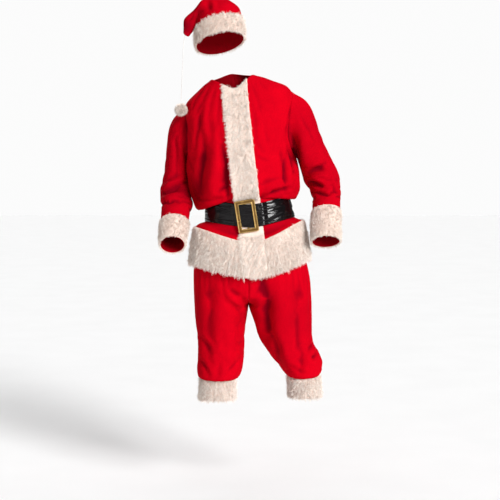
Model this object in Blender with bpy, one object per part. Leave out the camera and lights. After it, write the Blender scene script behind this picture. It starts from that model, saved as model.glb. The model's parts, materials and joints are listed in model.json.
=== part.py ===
"""A santa suit as it is worn: jacket, trousers, belt and hat.

Metres, +Z up, front towards -Y. The wearer's left is +X. The origin is the middle of the neck opening.
Every cloth panel is a wall on a form that short tables of sections describe, and the fur, the belt and
the waistband are made from the points of the panel that they lie on, moved out or in.
"""
from math import asin, cos, exp, pi, radians, sin, sqrt
from types import SimpleNamespace

import bmesh
import bpy
import numpy as np
from mathutils import Matrix, Vector

# ---------------------------------------------------------------- driving dimensions, metres
CLOTH = 0.002            # thickness of the velour
GAP = 0.0003             # clearance between pieces at a seam
FUR_REACH = 0.012        # how far the pile of the trims stands off the cloth
CUFF_REACH = 0.009       # the same on the cuffs
FUR_EDGE = 0.4           # share of the reach left at the edge of a trim
PLACKET_WIDTH, PLACKET_REACH = 0.092, 0.012
PRESSED_REACH = 0.0032   # the placket's pile under the belt
BELT_THICKNESS = 0.0022
BELT_BUMP = 0.0083       # how far the belt stands off the fronts where it crosses the placket
WAISTBAND_THICKNESS = 0.0025
BUCKLE_WIDTH, BUCKLE_HEIGHT = 0.077, 0.121
BUCKLE_BAR, BUCKLE_THICKNESS = 0.0145, 0.004
BUCKLE_LEAN = radians(9.0)
BUCKLE_TILT = radians(0.5)
BUCKLE_X, BUCKLE_Y, BUCKLE_Z = 0.0600, -0.1322, -0.5225
BAR_WIDTH, BAR_THICKNESS, BAR_SETBACK, BAR_LENGTH = 0.006, 0.002, 0.0045, 0.100
LUG_PLACE, LUG_HEIGHT = 0.0497, 0.0075
BUCKLE_EDGE = 0.0006     # width of the frame's bevelled edges
HAT_REACH = 0.010
STRING_RADIUS, STRING_POINTS = 0.0011, 60
POMPOM_RADIUS = 0.0265

CENTRE_FRONT_TOP, CENTRE_FRONT_SLOPE = 0.010, 0.1155     # x of the closure at z = 0, and its lean
SECTION_POWER = 2.2      # how square the jacket's sections are: 2 is an ellipse
SEAM_EASE, CENTRE_EASE = 1.5, 1.3    # how level the jacket's rows run at the side seams and the centres
LEG_POWER = 0.92         # how full the legs' sections are: 1 is an ellipse
CAP_END = 3.0            # the section of a sleeve where the armhole's own loop has faded out
FOLD_REACH, FOLD_END = 2.5, 0.12     # where a fold's height stops, in widths, and how its ends fade

# Facets: the steps of the jacket's intervals that have more than one, and columns of each panel.
JACKET_STEPS = {"belt_low": 2, "waist": 2, "underarm": 2, "arm_low": 2, "arm_mid": 2, "arm_high": 2}
SIDE_COLUMNS = 6         # from the placket's edge to the side seam
BACK_COLUMNS = 7         # from the centre back to a side seam
PLACKET_COLUMNS = 2      # from the closure to the placket's edge
HAT_COLUMNS = 20
POMPOM_SEGMENTS, POMPOM_RINGS = 16, 10

# Finishes: colour, roughness and metallic value.
VELOUR = ((0.62, 0.012, 0.02), 0.75, 0.0)
FUR = ((0.86, 0.84, 0.8), 0.95, 0.0)
VINYL = ((0.012, 0.012, 0.013), 0.25, 0.0)
BRASS = ((0.62, 0.43, 0.16), 0.3, 1.0)

FRONT, BACK = -1, 1
RIGHT, LEFT = -1, 1      # the wearer's sides


# ---------------------------------------------------------------- section tables
class Table:
    """Rows of named numbers, read at any point between two rows on a curve that never overshoots."""

    def __init__(self, columns, rows):
        self.names = [row[0] for row in rows]
        self.columns = columns.split()
        self.values = np.array([row[1:] for row in rows], float)
        steps = np.diff(self.values, axis=0)
        before, after = steps[:-1], steps[1:]
        same_way = before * after > 0
        total = np.where(same_way, before + after, 1.0)
        inner = np.where(same_way, 2 * before * after / total, 0.0)
        self.slopes = np.vstack([steps[:1], inner, steps[-1:]])

    def row(self, name):
        """The number of a named row."""
        return self.names.index(name)

    def at(self, t):
        """The columns' values at a place, which is a row's number where it is whole."""
        low = int(min(max(t, 0), len(self.values) - 1.000001))
        f = t - low
        start, end = self.values[low], self.values[low + 1]
        value = (start * (1 + 2 * f) * (1 - f) ** 2 + end * f * f * (3 - 2 * f)
                 + self.slopes[low] * f * (1 - f) ** 2 - self.slopes[low + 1] * f * f * (1 - f))
        return SimpleNamespace(**dict(zip(self.columns, value)))


# From the hem up: z and y of the centre front and back, x, y and z of the two sides, and half the opening of
# the armholes.
JACKET_COLUMNS = ("front_z back_z right_z left_z front_y back_y "
                  "right_x left_x right_y left_y right_gap left_gap")
JACKET = Table(JACKET_COLUMNS, [
    ("hem_edge", -0.752, -0.690, -0.705, -0.688, -0.165, 0.152, -0.155, 0.299, 0.0, 0.0, 0, 0),
    ("hem_mid", -0.688, -0.625, -0.636, -0.617, -0.159, 0.147, -0.148, 0.289, 0.0, 0.0, 0, 0),
    ("hem_top", -0.621, -0.560, -0.567, -0.543, -0.150, 0.138, -0.136, 0.272, 0.0, 0.0, 0, 0),
    ("flare", -0.600, -0.545, -0.555, -0.537, -0.1265, 0.122, -0.121, 0.257, 0.0, 0.0, 0, 0),
    ("belt_low", -0.5645, -0.535, -0.5455, -0.5305, -0.1195, 0.108, -0.0985, 0.243, 0.0, 0.0, 0, 0),
    ("belt_top", -0.4795, -0.450, -0.4605, -0.4475, -0.119, 0.107, -0.0965, 0.223, 0.0, 0.0, 0, 0),
    ("tuck", -0.470, -0.443, -0.452, -0.440, -0.1185, 0.110, -0.100, 0.226, 0.0, 0.0, 0, 0),
    ("roll", -0.460, -0.444, -0.463, -0.446, -0.120, 0.122, -0.111, 0.2345, 0.0, 0.0, 0, 0),
    ("blouse_low", -0.448, -0.448, -0.500, -0.458, -0.126, 0.131, -0.121, 0.242, 0.0, 0.0, 0, 0),
    ("blouse", -0.430, -0.436, -0.486, -0.444, -0.138, 0.139, -0.135, 0.251, 0.0, 0.0, 0, 0),
    ("waist", -0.395, -0.392, -0.430, -0.405, -0.150, 0.144, -0.149, 0.2635, 0.010, 0.0, 0, 0),
    ("ribs", -0.335, -0.330, -0.365, -0.345, -0.149, 0.143, -0.163, 0.2605, 0.025, 0.0, 0, 0),
    ("underarm", -0.285, -0.285, -0.312, -0.300, -0.146, 0.141, -0.168, 0.2505, 0.042, 0.0, 0, 0),
    ("arm_low", -0.235, -0.235, -0.272, -0.262, -0.141, 0.140, -0.166, 0.232, 0.048, -0.002, 0.045, 0.048),
    ("arm_mid", -0.180, -0.172, -0.212, -0.188, -0.133, 0.137, -0.164, 0.219, 0.055, -0.004, 0.066, 0.070),
    ("arm_high", -0.128, -0.110, -0.148, -0.108, -0.121, 0.129, -0.170, 0.224, 0.060, -0.004, 0.056, 0.058),
    ("shoulder", -0.092, -0.048, -0.098, -0.031, -0.107, 0.112, -0.180, 0.229, 0.060, 0.0, 0, 0),
    ("yoke", -0.066, -0.009, -0.042, -0.005, -0.090, 0.088, -0.124, 0.155, 0.030, 0.0, 0, 0),
    ("neck", -0.047, 0.022, -0.006, 0.012, -0.076, 0.066, -0.073, 0.080, 0.004, 0.0, 0, 0),
])

# Each sleeve from the armhole down: the side next to the body, the outer side, and the middle's depth,
# half the sleeve's depth and how far the section tips forward, in degrees.
SLEEVE_COLUMNS = "inner_x inner_z outer_x outer_z y half_depth pitch"
SLEEVES = {
    LEFT: Table(SLEEVE_COLUMNS, [
        ("armhole", 0.2505, -0.300, 0.229, -0.031, 0.0, 0.070, 0),
        ("cap_high", 0.2535, -0.303, 0.276, -0.064, 0.0, 0.078, 0),
        ("cap", 0.257, -0.308, 0.314, -0.128, 0.0, 0.078, 0),
        ("cap_low", 0.260, -0.316, 0.341, -0.205, 0.003, 0.075, 0),
        ("upper", 0.266, -0.331, 0.369, -0.272, 0.008, 0.072, 0),
        ("above_elbow", 0.274, -0.355, 0.398, -0.326, 0.014, 0.069, 2),
        ("elbow", 0.282, -0.388, 0.4165, -0.374, 0.018, 0.066, 6),
        ("below_elbow", 0.303, -0.420, 0.4205, -0.412, 0.010, 0.062, 18),
        ("forearm", 0.311, -0.462, 0.4195, -0.458, -0.012, 0.058, 27),
        ("cuff_top", 0.3115, -0.507, 0.415, -0.504, -0.040, 0.054, 28),
        ("cuff_mid", 0.308, -0.563, 0.411, -0.561, -0.073, 0.053, 28),
        ("opening", 0.307, -0.619, 0.410, -0.617, -0.105, 0.052, 28),
    ]),
    RIGHT: Table(SLEEVE_COLUMNS, [
        ("armhole", -0.168, -0.312, -0.180, -0.098, 0.055, 0.066, 0),
        ("cap_high", -0.1765, -0.317, -0.206, -0.118, 0.060, 0.074, 0),
        ("cap", -0.1785, -0.323, -0.232, -0.160, 0.064, 0.074, 0),
        ("cap_low", -0.1790, -0.332, -0.247, -0.220, 0.067, 0.072, 0),
        ("upper", -0.1780, -0.347, -0.253, -0.287, 0.070, 0.069, 0),
        ("above_elbow", -0.173, -0.371, -0.260, -0.345, 0.070, 0.066, 3),
        ("elbow", -0.168, -0.402, -0.268, -0.392, 0.060, 0.064, 14),
        ("below_elbow", -0.161, -0.437, -0.273, -0.432, 0.036, 0.060, 33),
        ("forearm", -0.156, -0.484, -0.266, -0.482, -0.018, 0.057, 42),
        ("cuff_top", -0.1600, -0.548, -0.263, -0.549, -0.090, 0.052, 42),
        ("cuff_mid", -0.1660, -0.586, -0.261, -0.588, -0.138, 0.0505, 42),
        ("opening", -0.1700, -0.624, -0.258, -0.626, -0.185, 0.049, 42),
    ]),
}

# Each leg from the waist down: z of the front, back, side and inseam, x of the inner edge and of the side
# seam, y of the front and back, and where the section starts: at 90 degrees it is half of a shared section, at
# 0 degrees it is a leg closed at the inseam. The seams lie at y = 0.
LEG_COLUMNS = "front_z back_z side_z inner_z inner_x side_x front_y back_y start"
LEGS = {
    LEFT: Table(LEG_COLUMNS, [
        ("waist", -0.548, -0.515, -0.510, -0.532, 0.069, 0.236, -0.117, 0.104, 90),
        ("high_hip", -0.604, -0.565, -0.577, -0.585, 0.068, 0.252, -0.1225, 0.118, 90),
        ("hip", -0.690, -0.650, -0.660, -0.670, 0.067, 0.280, -0.146, 0.134, 90),
        ("seat", -0.765, -0.735, -0.740, -0.750, 0.067, 0.300, -0.148, 0.141, 90),
        ("low_seat", -0.812, -0.806, -0.800, -0.812, 0.067, 0.307, -0.141, 0.138, 85),
        ("rise", -0.845, -0.842, -0.838, -0.836, 0.067, 0.3095, -0.134, 0.134, 42),
        ("crotch", -0.884, -0.884, -0.884, -0.852, 0.067, 0.3105, -0.128, 0.129, 0),
        ("thigh", -0.926, -0.926, -0.926, -0.918, 0.087, 0.3115, -0.117, 0.119, 0),
        ("mid_thigh", -0.964, -0.964, -0.964, -0.964, 0.100, 0.3115, -0.110, 0.112, 0),
        ("low_thigh", -1.008, -1.008, -1.008, -1.008, 0.121, 0.318, -0.104, 0.104, 0),
        ("knee", -1.052, -1.052, -1.046, -1.052, 0.150, 0.338, -0.100, 0.097, 0),
        ("bag", -1.095, -1.092, -1.082, -1.094, 0.184, 0.350, -0.096, 0.092, 0),
        ("bag_low", -1.128, -1.120, -1.110, -1.124, 0.207, 0.3485, -0.090, 0.086, 0),
        ("bag_edge", -1.141, -1.132, -1.124, -1.136, 0.2165, 0.344, -0.080, 0.078, 0),
        ("gather", -1.130, -1.125, -1.119, -1.127, 0.2255, 0.336, -0.069, 0.068, 0),
        ("cuff_top", -1.146, -1.142, -1.139, -1.144, 0.2255, 0.338, -0.068, 0.068, 0),
        ("cuff_low", -1.183, -1.183, -1.183, -1.183, 0.2265, 0.341, -0.069, 0.069, 0),
        ("cuff_edge", -1.222, -1.222, -1.222, -1.222, 0.2275, 0.345, -0.070, 0.070, 0),
    ]),
    RIGHT: Table(LEG_COLUMNS, [
        ("waist", -0.548, -0.515, -0.525, -0.532, 0.069, -0.093, -0.117, 0.104, 90),
        ("high_hip", -0.604, -0.565, -0.590, -0.585, 0.068, -0.112, -0.1225, 0.118, 90),
        ("hip", -0.690, -0.650, -0.670, -0.670, 0.067, -0.137, -0.146, 0.134, 90),
        ("seat", -0.765, -0.735, -0.745, -0.750, 0.067, -0.1445, -0.148, 0.141, 90),
        ("low_seat", -0.812, -0.806, -0.800, -0.812, 0.067, -0.1435, -0.141, 0.138, 85),
        ("rise", -0.845, -0.842, -0.838, -0.836, 0.067, -0.1415, -0.134, 0.134, 42),
        ("crotch", -0.884, -0.884, -0.884, -0.852, 0.067, -0.139, -0.128, 0.129, 0),
        ("thigh", -0.926, -0.926, -0.926, -0.918, 0.0555, -0.135, -0.117, 0.119, 0),
        ("mid_thigh", -0.964, -0.964, -0.964, -0.964, 0.0535, -0.131, -0.110, 0.112, 0),
        ("low_thigh", -1.010, -1.010, -1.010, -1.010, 0.050, -0.1285, -0.105, 0.104, 0),
        ("knee", -1.056, -1.056, -1.056, -1.056, 0.0475, -0.129, -0.101, 0.097, 0),
        ("bag", -1.100, -1.096, -1.098, -1.098, 0.043, -0.132, -0.098, 0.092, 0),
        ("bag_low", -1.137, -1.126, -1.128, -1.131, 0.033, -0.129, -0.090, 0.086, 0),
        ("bag_edge", -1.149, -1.138, -1.141, -1.143, 0.021, -0.123, -0.080, 0.078, 0),
        ("gather", -1.136, -1.130, -1.132, -1.133, 0.0095, -0.1120, -0.068, 0.067, 0),
        ("cuff_top", -1.152, -1.148, -1.150, -1.150, 0.0095, -0.1140, -0.067, 0.067, 0),
        ("cuff_low", -1.190, -1.190, -1.190, -1.190, 0.0095, -0.1165, -0.068, 0.068, 0),
        ("cuff_edge", -1.232, -1.232, -1.232, -1.232, 0.0105, -0.1205, -0.069, 0.069, 0),
    ]),
}

# The hat from its rim: the side at the fold (near), the far side, the middle's depth, half the depth, and
# how much the front of the section is raised. The cap folds over to the wearer's right.
HAT = Table("near_x near_z far_x far_z y half_depth lift", [
    ("rim", -0.1310, 0.1150, 0.0490, 0.1520, 0.0, 0.104, 0.030),
    ("rim_mid", -0.1320, 0.1480, 0.0465, 0.1880, 0.0, 0.105, 0.030),
    ("band_top", -0.1320, 0.1800, 0.0420, 0.2240, 0.0, 0.103, 0.029),
    ("side", -0.1300, 0.2010, 0.0345, 0.2560, 0.0, 0.094, 0.024),
    ("dome", -0.1260, 0.2160, 0.0080, 0.2800, 0.0, 0.080, 0.017),
    ("top", -0.1230, 0.2220, -0.0340, 0.2990, -0.002, 0.066, 0.010),
    ("crest", -0.1255, 0.2245, -0.0960, 0.2960, -0.005, 0.054, 0.006),
    ("fold", -0.1310, 0.2180, -0.1450, 0.2480, -0.010, 0.043, 0.0),
    ("flap", -0.1375, 0.2030, -0.1770, 0.2130, -0.016, 0.031, 0.0),
    ("flap_low", -0.1410, 0.1795, -0.1785, 0.1880, -0.024, 0.019, 0.0),
    ("tip", -0.1560, 0.1560, -0.1790, 0.1715, -0.030, 0.008, 0.0),
])

# The string's route from the hat's tip down to the pompom.
STRING = Table("x y z", [
    ("tip", -0.16768, -0.0300, 0.16350),
    ("below_tip", -0.1730, -0.0300, 0.1550),
    ("upper", -0.1785, -0.0302, 0.1280),
    ("middle", -0.1830, -0.0305, 0.0400),
    ("lower", -0.1870, -0.0310, -0.0500),
    ("pompom", -0.1890, -0.0310, -0.0952),
])

# The largest folds: their two ends, width and height (a trough is negative).
FOLDS = Table("x1 y1 z1 x2 y2 z2 width height", [
    ("chest_trough_right", -0.062, -0.130, -0.262, -0.120, -0.110, -0.400, 0.016, -0.009),
    ("chest_ridge_right", -0.050, -0.135, -0.270, -0.094, -0.120, -0.425, 0.018, 0.009),
    ("placket_trough_right", -0.028, -0.140, -0.270, 0.008, -0.150, -0.440, 0.014, -0.007),
    ("side_trough_right", -0.150, -0.060, -0.300, -0.125, -0.080, -0.430, 0.018, -0.007),
    ("chest_trough_left", 0.190, -0.110, -0.290, 0.150, -0.135, -0.420, 0.018, -0.007),
    ("blouse_ridge_left", 0.215, -0.085, -0.300, 0.205, -0.100, -0.420, 0.020, 0.006),
    ("back_trough_right", -0.080, 0.130, -0.250, -0.060, 0.135, -0.430, 0.022, -0.008),
    ("back_trough_left", 0.150, 0.130, -0.240, 0.120, 0.135, -0.430, 0.022, -0.008),
    ("back_ridge", 0.030, 0.140, -0.260, 0.040, 0.145, -0.430, 0.024, 0.007),
    ("elbow_trough_left", 0.290, -0.040, -0.385, 0.375, -0.040, -0.405, 0.012, -0.008),
    ("elbow_trough_right", -0.165, 0.010, -0.410, -0.235, 0.000, -0.420, 0.012, -0.007),
    ("thigh_trough_left", 0.145, -0.125, -0.790, 0.170, -0.100, -1.000, 0.020, -0.012),
    ("thigh_ridge_left", 0.240, -0.120, -0.800, 0.262, -0.095, -1.060, 0.024, 0.010),
    ("crotch_trough_left", 0.085, -0.120, -0.890, 0.180, -0.120, -0.840, 0.026, -0.006),
    ("crotch_trough_right", 0.050, -0.120, -0.880, -0.060, -0.130, -0.800, 0.026, -0.006),
    ("thigh_trough_right", -0.040, -0.120, -0.870, -0.070, -0.100, -1.060, 0.020, -0.009),
    ("thigh_ridge_right", -0.005, -0.115, -0.880, -0.010, -0.100, -1.050, 0.022, 0.008),
    ("seat_trough_left", 0.100, 0.125, -0.900, 0.200, 0.120, -0.960, 0.026, -0.008),
    ("seat_trough_right", 0.045, 0.125, -0.900, -0.070, 0.120, -0.960, 0.026, -0.008),
])


# ---------------------------------------------------------------- forms
def smooth(low, high, value):
    """0 below low, 1 above high and an S between them."""
    f = min(max((value - low) / (high - low), 0.0), 1.0)
    return f * f * (3 - 2 * f)


def jacket_point(t, side, face, share):
    """A point of the jacket: section t, the wearer's side, front or back, and its share of the way out."""
    row = JACKET.at(t)
    side_x, side_y, side_z, gap = ((row.left_x, row.left_y, row.left_z, row.left_gap) if side == LEFT
                                   else (row.right_x, row.right_y, row.right_z, row.right_gap))
    if face == FRONT:
        centre = (CENTRE_FRONT_TOP - CENTRE_FRONT_SLOPE * row.front_z, row.front_y, row.front_z)
    else:
        centre = ((row.left_x + row.right_x) / 2, row.back_y, row.back_z)
    edge_y = side_y + face * gap
    forward = (1 - share ** SECTION_POWER) ** (1 / SECTION_POWER)
    return Vector((centre[0] + (side_x - centre[0]) * share,
                   edge_y + (centre[1] - edge_y) * forward,
                   side_z + (centre[2] - side_z) * (1 - share ** SEAM_EASE) ** CENTRE_EASE))


def sleeve_ring(side, t, loop):
    """A section of a sleeve. The armhole's own loop fades out over the cap."""
    table = SLEEVES[side]
    row = table.at(t)
    inner, outer = Vector((row.inner_x, row.y, row.inner_z)), Vector((row.outer_x, row.y, row.outer_z))
    middle, out = (inner + outer) / 2, (outer - inner) / 2
    front = Vector((0, -cos(radians(row.pitch)), sin(radians(row.pitch)))) * row.half_depth
    base = table.at(0)
    base_middle = Vector(((base.inner_x + base.outer_x) / 2, base.y, (base.inner_z + base.outer_z) / 2))
    base_out = Vector((base.outer_x - base.inner_x, 0, base.outer_z - base.inner_z)) / 2
    turn = base_out.rotation_difference(out)
    scale = out.length / base_out.length
    fade = 1 - smooth(0.0, CAP_END, t)
    ring = []
    for i, point in enumerate(loop):
        angle = 2 * pi * i / len(loop)
        oval = middle + out * cos(angle) + front * sin(angle)
        carried = middle + (turn @ (point - base_middle)) * scale
        ring.append(point.copy() if t == 0 else oval.lerp(carried, fade))
    return ring


def leg_row(side, t, face, count):
    """A row of a trouser panel, from its inner edge round to the side seam."""
    row = LEGS[side].at(t)
    face_y, face_z = (row.front_y, row.front_z) if face == FRONT else (row.back_y, row.back_z)
    start = radians(row.start)
    half = (row.side_x - row.inner_x) / (1 + cos(start))
    middle = row.side_x - half
    points = []
    for i in range(count + 1):
        angle = start + (pi - start) * i / count
        x = middle - half * cos(angle)
        y = face_y * abs(sin(angle)) ** LEG_POWER
        end_z = row.inner_z if angle < pi / 2 else row.side_z
        points.append(Vector((x, y, face_z * sin(angle) + end_z * (1 - sin(angle)))))
    return points


def hat_ring(t, count):
    """A section of the hat, from its far side round by the front."""
    row = HAT.at(t)
    near, far = Vector((row.near_x, row.y, row.near_z)), Vector((row.far_x, row.y, row.far_z))
    middle, out = (near + far) / 2, (far - near) / 2
    front = Vector((0, -sqrt(row.half_depth ** 2 - row.lift ** 2), row.lift))
    return [middle + out * cos(2 * pi * i / count) - front * sin(2 * pi * i / count) for i in range(count)]


def apply_folds(grids, normals):
    """Moves the grids' points along their normals into the troughs and ridges of FOLDS."""
    moved = {}
    for index in range(len(FOLDS.names)):
        fold = FOLDS.at(index)
        start, end = Vector((fold.x1, fold.y1, fold.z1)), Vector((fold.x2, fold.y2, fold.z2))
        along = end - start
        for name, grid in grids.items():
            for i, row in enumerate(grid):
                for j, point in enumerate(row):
                    share = min(max((point - start).dot(along) / along.length_squared, 0.0), 1.0)
                    distance = (point - start - along * share).length / fold.width
                    if distance < FOLD_REACH:
                        fade = sin(pi * min(max(share, FOLD_END), 1 - FOLD_END)) ** 0.5
                        height = fold.height * fade * exp(-distance * distance)
                        moved.setdefault((name, i, j), Vector())
                        moved[name, i, j] += normals[name][i][j] * height
    for (name, i, j), shift in moved.items():
        grids[name][i][j] = grids[name][i][j] + shift


# ---------------------------------------------------------------- walls
def shared_normals(grids, wraps):
    """Outward normals of grids that meet at their edges: coincident points get one common normal."""
    sums = {}

    def key(point):
        return tuple(round(c, 6) for c in point)

    for name, grid in grids.items():
        columns = len(grid[0])
        for i in range(len(grid) - 1):
            for j in range(columns if wraps[name] else columns - 1):
                k = (j + 1) % columns
                a, b, c, d = grid[i][j], grid[i][k], grid[i + 1][k], grid[i + 1][j]
                normal = (c - a).cross(d - b)
                for point in (a, b, c, d):
                    sums.setdefault(key(point), Vector())
                    sums[key(point)] += normal
    return {name: [[sums[key(point)].normalized() for point in row] for row in grid]
            for name, grid in grids.items()}


def pull_in(grid, rims):
    """Leaves the gap of a seam at a grid's rims: "start" is its first row, "sides" are its outer columns."""
    result = [list(row) for row in grid]
    if rims == "start":
        result[0] = [point + (after - point).normalized() * GAP / 2 for point, after in zip(grid[0], grid[1])]
    else:
        for row, source in zip(result, grid):
            row[0] = source[0] + (source[1] - source[0]).normalized() * GAP / 2
            row[-1] = source[-1] + (source[-2] - source[-1]).normalized() * GAP / 2
    return result


def material(name, colour, roughness, metallic):
    """A material of its own for one piece."""
    made = bpy.data.materials.new(name)
    made.use_nodes = True
    shader = made.node_tree.nodes["Principled BSDF"]
    shader.inputs["Base Color"].default_value = (*colour, 1)
    shader.inputs["Roughness"].default_value = roughness
    shader.inputs["Metallic"].default_value = metallic
    return made


def new_object(name, mesh, look):
    """Puts a mesh in the scene as an object with its own material."""
    mesh.materials.append(material(name, *look))
    made = bpy.data.objects.new(name, mesh)
    bpy.context.scene.collection.objects.link(made)
    return made


def wall(name, grid, normals, low, high, wrap, look, cap_last=False):
    """A closed solid between two offsets of a grid, each a number or a function of the row and column."""
    rows, columns = len(grid), len(grid[0])

    def offset(value, i, j):
        return value(i, j) if callable(value) else value

    top = [[grid[i][j] + normals[i][j] * offset(high, i, j) for j in range(columns)] for i in range(rows)]
    base = [[grid[i][j] + normals[i][j] * offset(low, i, j) for j in range(columns)] for i in range(rows)]
    work = bmesh.new()
    outer = [[work.verts.new(point) for point in row] for row in top]
    inner = [[work.verts.new(point) for point in row] for row in base]

    def quad(a, b, c, d):
        work.faces.new((a, b, c))
        work.faces.new((a, c, d))

    def rim(a, b, c, d):
        """A rim face from outer points a and b to inner ones c and d, split alike on both sides of a seam."""
        halves = ((a, b, c), (a, c, d)) if a.co.z < b.co.z else ((a, b, d), (b, c, d))
        for half in halves:
            work.faces.new(half)

    spans = range(columns if wrap else columns - 1)
    for i in range(rows - 1):
        for j in spans:
            k = (j + 1) % columns
            quad(outer[i][j], outer[i][k], outer[i + 1][k], outer[i + 1][j])
            quad(inner[i][j], inner[i + 1][j], inner[i + 1][k], inner[i][k])
    for j in spans:
        k = (j + 1) % columns
        rim(outer[0][k], outer[0][j], inner[0][j], inner[0][k])
        if not cap_last:
            rim(outer[-1][j], outer[-1][k], inner[-1][k], inner[-1][j])
    if cap_last:
        work.faces.new(outer[-1])
        work.faces.new(list(reversed(inner[-1])))
    if not wrap:
        for i in range(rows - 1):
            rim(outer[i][0], outer[i + 1][0], inner[i + 1][0], inner[i][0])
            rim(outer[i + 1][-1], outer[i][-1], inner[i][-1], inner[i + 1][-1])
    bmesh.ops.recalc_face_normals(work, faces=work.faces)
    mesh = bpy.data.meshes.new(name)
    work.to_mesh(mesh)
    work.free()
    mesh.shade_smooth()
    return new_object(name, mesh, look)


def pile(rows, reach):
    """The height of a trim's pile: lower on its first and last row."""
    def height(i, _):
        return GAP + reach * (FUR_EDGE if i in (0, rows - 1) else 1.0)
    return height


# ---------------------------------------------------------------- jacket
def stations(table, steps, first, last):
    """Places between two named rows of a table, with the steps that each interval has."""
    places = []
    for index in range(table.row(first), table.row(last)):
        count = steps.get(table.names[index], 1)
        places += [index + i / count for i in range(count)]
    return places + [float(table.row(last))]


def front_shares(t, side):
    """Shares of the way out for a row of a front: the placket's edge falls on a column."""
    row = JACKET.at(t)
    closure = CENTRE_FRONT_TOP - CENTRE_FRONT_SLOPE * row.front_z
    edge = PLACKET_WIDTH / 2 / abs((row.left_x if side == LEFT else row.right_x) - closure)
    start = asin(edge)
    return ([edge * i / PLACKET_COLUMNS for i in range(PLACKET_COLUMNS)]
            + [sin(start + (pi / 2 - start) * i / SIDE_COLUMNS) for i in range(SIDE_COLUMNS + 1)])


def jacket_row(t, side, face):
    """A row of one quarter of the jacket, from its centre to the side seam."""
    shares = front_shares(t, side) if face == FRONT else [sin(pi / 2 * i / BACK_COLUMNS)
                                                          for i in range(BACK_COLUMNS + 1)]
    return [jacket_point(t, side, face, share) for share in shares]


def jacket_forms():
    """The grids of the five panels, with their shared normals. Rows run from the hem up."""
    places = stations(JACKET, JACKET_STEPS, "hem_edge", "neck")
    panels = {(side, face): [jacket_row(t, side, face) for t in places]
              for side in (LEFT, RIGHT) for face in (FRONT, BACK)}
    arm = [i for i, t in enumerate(places) if JACKET.row("underarm") <= t <= JACKET.row("shoulder")]
    grids = {
        "jacket_front_left": panels[LEFT, FRONT],
        "jacket_front_right": [row[::-1] for row in panels[RIGHT, FRONT]],
        "jacket_back": [left[::-1] + right[1:]
                        for left, right in zip(panels[LEFT, BACK], panels[RIGHT, BACK])],
    }
    for side, name in ((LEFT, "jacket_sleeve_left"), (RIGHT, "jacket_sleeve_right")):
        loop = [panels[side, FRONT][i][-1] for i in reversed(arm)]
        loop += [panels[side, BACK][i][-1] for i in arm[1:-1]]
        rings = [sleeve_ring(side, t, loop) for t in range(len(SLEEVES[side].names))]
        grids[name] = rings if side == LEFT else [ring[::-1] for ring in rings]
    wraps = {name: "sleeve" in name for name in grids}
    apply_folds(grids, shared_normals(grids, wraps))
    return places, grids, shared_normals(grids, wraps), wraps


def make_jacket():
    """The fronts, the back and the sleeves. Returns the grids that the trims and the belt are made from."""
    places, grids, normals, wraps = jacket_forms()
    for name, grid in grids.items():
        rims = "start" if wraps[name] else "sides"
        wall(name, pull_in(grid, rims), normals[name], -CLOTH, 0.0, wraps[name], VELOUR)
    return places, grids, normals


def make_jacket_fur(places, grids, normals):
    """The placket, the hem and the cuffs, each on the points of the panels under it."""
    edge = PLACKET_COLUMNS
    placket = [right[-edge - 1:] + left[1:edge + 1]
               for right, left in zip(grids["jacket_front_right"], grids["jacket_front_left"])]
    placket_normals = [right[-edge - 1:] + left[1:edge + 1]
                       for right, left in zip(normals["jacket_front_right"], normals["jacket_front_left"])]
    pressed = range(JACKET.row("flare"), JACKET.row("blouse_low") + 1)

    def placket_pile(i, j):
        if pressed[0] <= places[i] <= pressed[-1]:
            return GAP + PRESSED_REACH
        at_edge = j in (0, 2 * edge) or i in (0, len(places) - 1)
        return GAP + (PLACKET_REACH * FUR_EDGE if at_edge else PLACKET_REACH)

    wall("jacket_placket_fur", pull_in(placket, "sides"), placket_normals, GAP, placket_pile,
         False, FUR)

    count = places.index(JACKET.row("hem_top")) + 1
    cuts = {"left": slice(edge, None), "right": slice(None, -edge), "back": slice(None)}
    for side, cut in cuts.items():
        source = "jacket_back" if side == "back" else "jacket_front_" + side
        rows = [row[cut] for row in grids[source][:count]]
        row_normals = [row[cut] for row in normals[source][:count]]
        wall("jacket_hem_fur_" + side, pull_in(rows, "sides"), row_normals, GAP,
             pile(count, FUR_REACH), False, FUR)
    for side, name in ((LEFT, "left"), (RIGHT, "right")):
        first = SLEEVES[side].row("cuff_top")
        rows, row_normals = (source["jacket_sleeve_" + name][first:] for source in (grids, normals))
        wall("jacket_cuff_fur_" + name, rows, row_normals, GAP, pile(len(rows), CUFF_REACH), True, FUR)


# ---------------------------------------------------------------- belt
def body_ring(places, rows, t):
    """A whole section of the jacket, from the closure round by the wearer's left."""
    i = places.index(t)
    return (rows["jacket_front_left"][i][:-1] + rows["jacket_back"][i][:-1]
            + rows["jacket_front_right"][i][:-1])


def make_belt(places, grids, normals):
    """The strap, which stands off the fronts over the placket, and its buckle."""
    heights = [t for t in places if JACKET.row("belt_low") <= t <= JACKET.row("belt_top")]
    rings = [body_ring(places, grids, t) for t in heights]
    ring_normals = [body_ring(places, normals, t) for t in heights]
    columns = len(rings[0])

    def inside(_, j):
        return BELT_BUMP if min(j, columns - j) <= PLACKET_COLUMNS else GAP

    def outside(i, j):
        return inside(i, j) + BELT_THICKNESS

    wall("belt_strap", rings, ring_normals, inside, outside, True, VINYL)
    make_buckle()


def box(name, size, centre, look):
    """A plain block, for a bar or a lug."""
    work = bmesh.new()
    bmesh.ops.create_cube(work, size=1)
    bmesh.ops.scale(work, vec=size, verts=work.verts)
    bmesh.ops.translate(work, vec=centre, verts=work.verts)
    mesh = bpy.data.meshes.new(name)
    work.to_mesh(mesh)
    work.free()
    return new_object(name, mesh, look)


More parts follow.
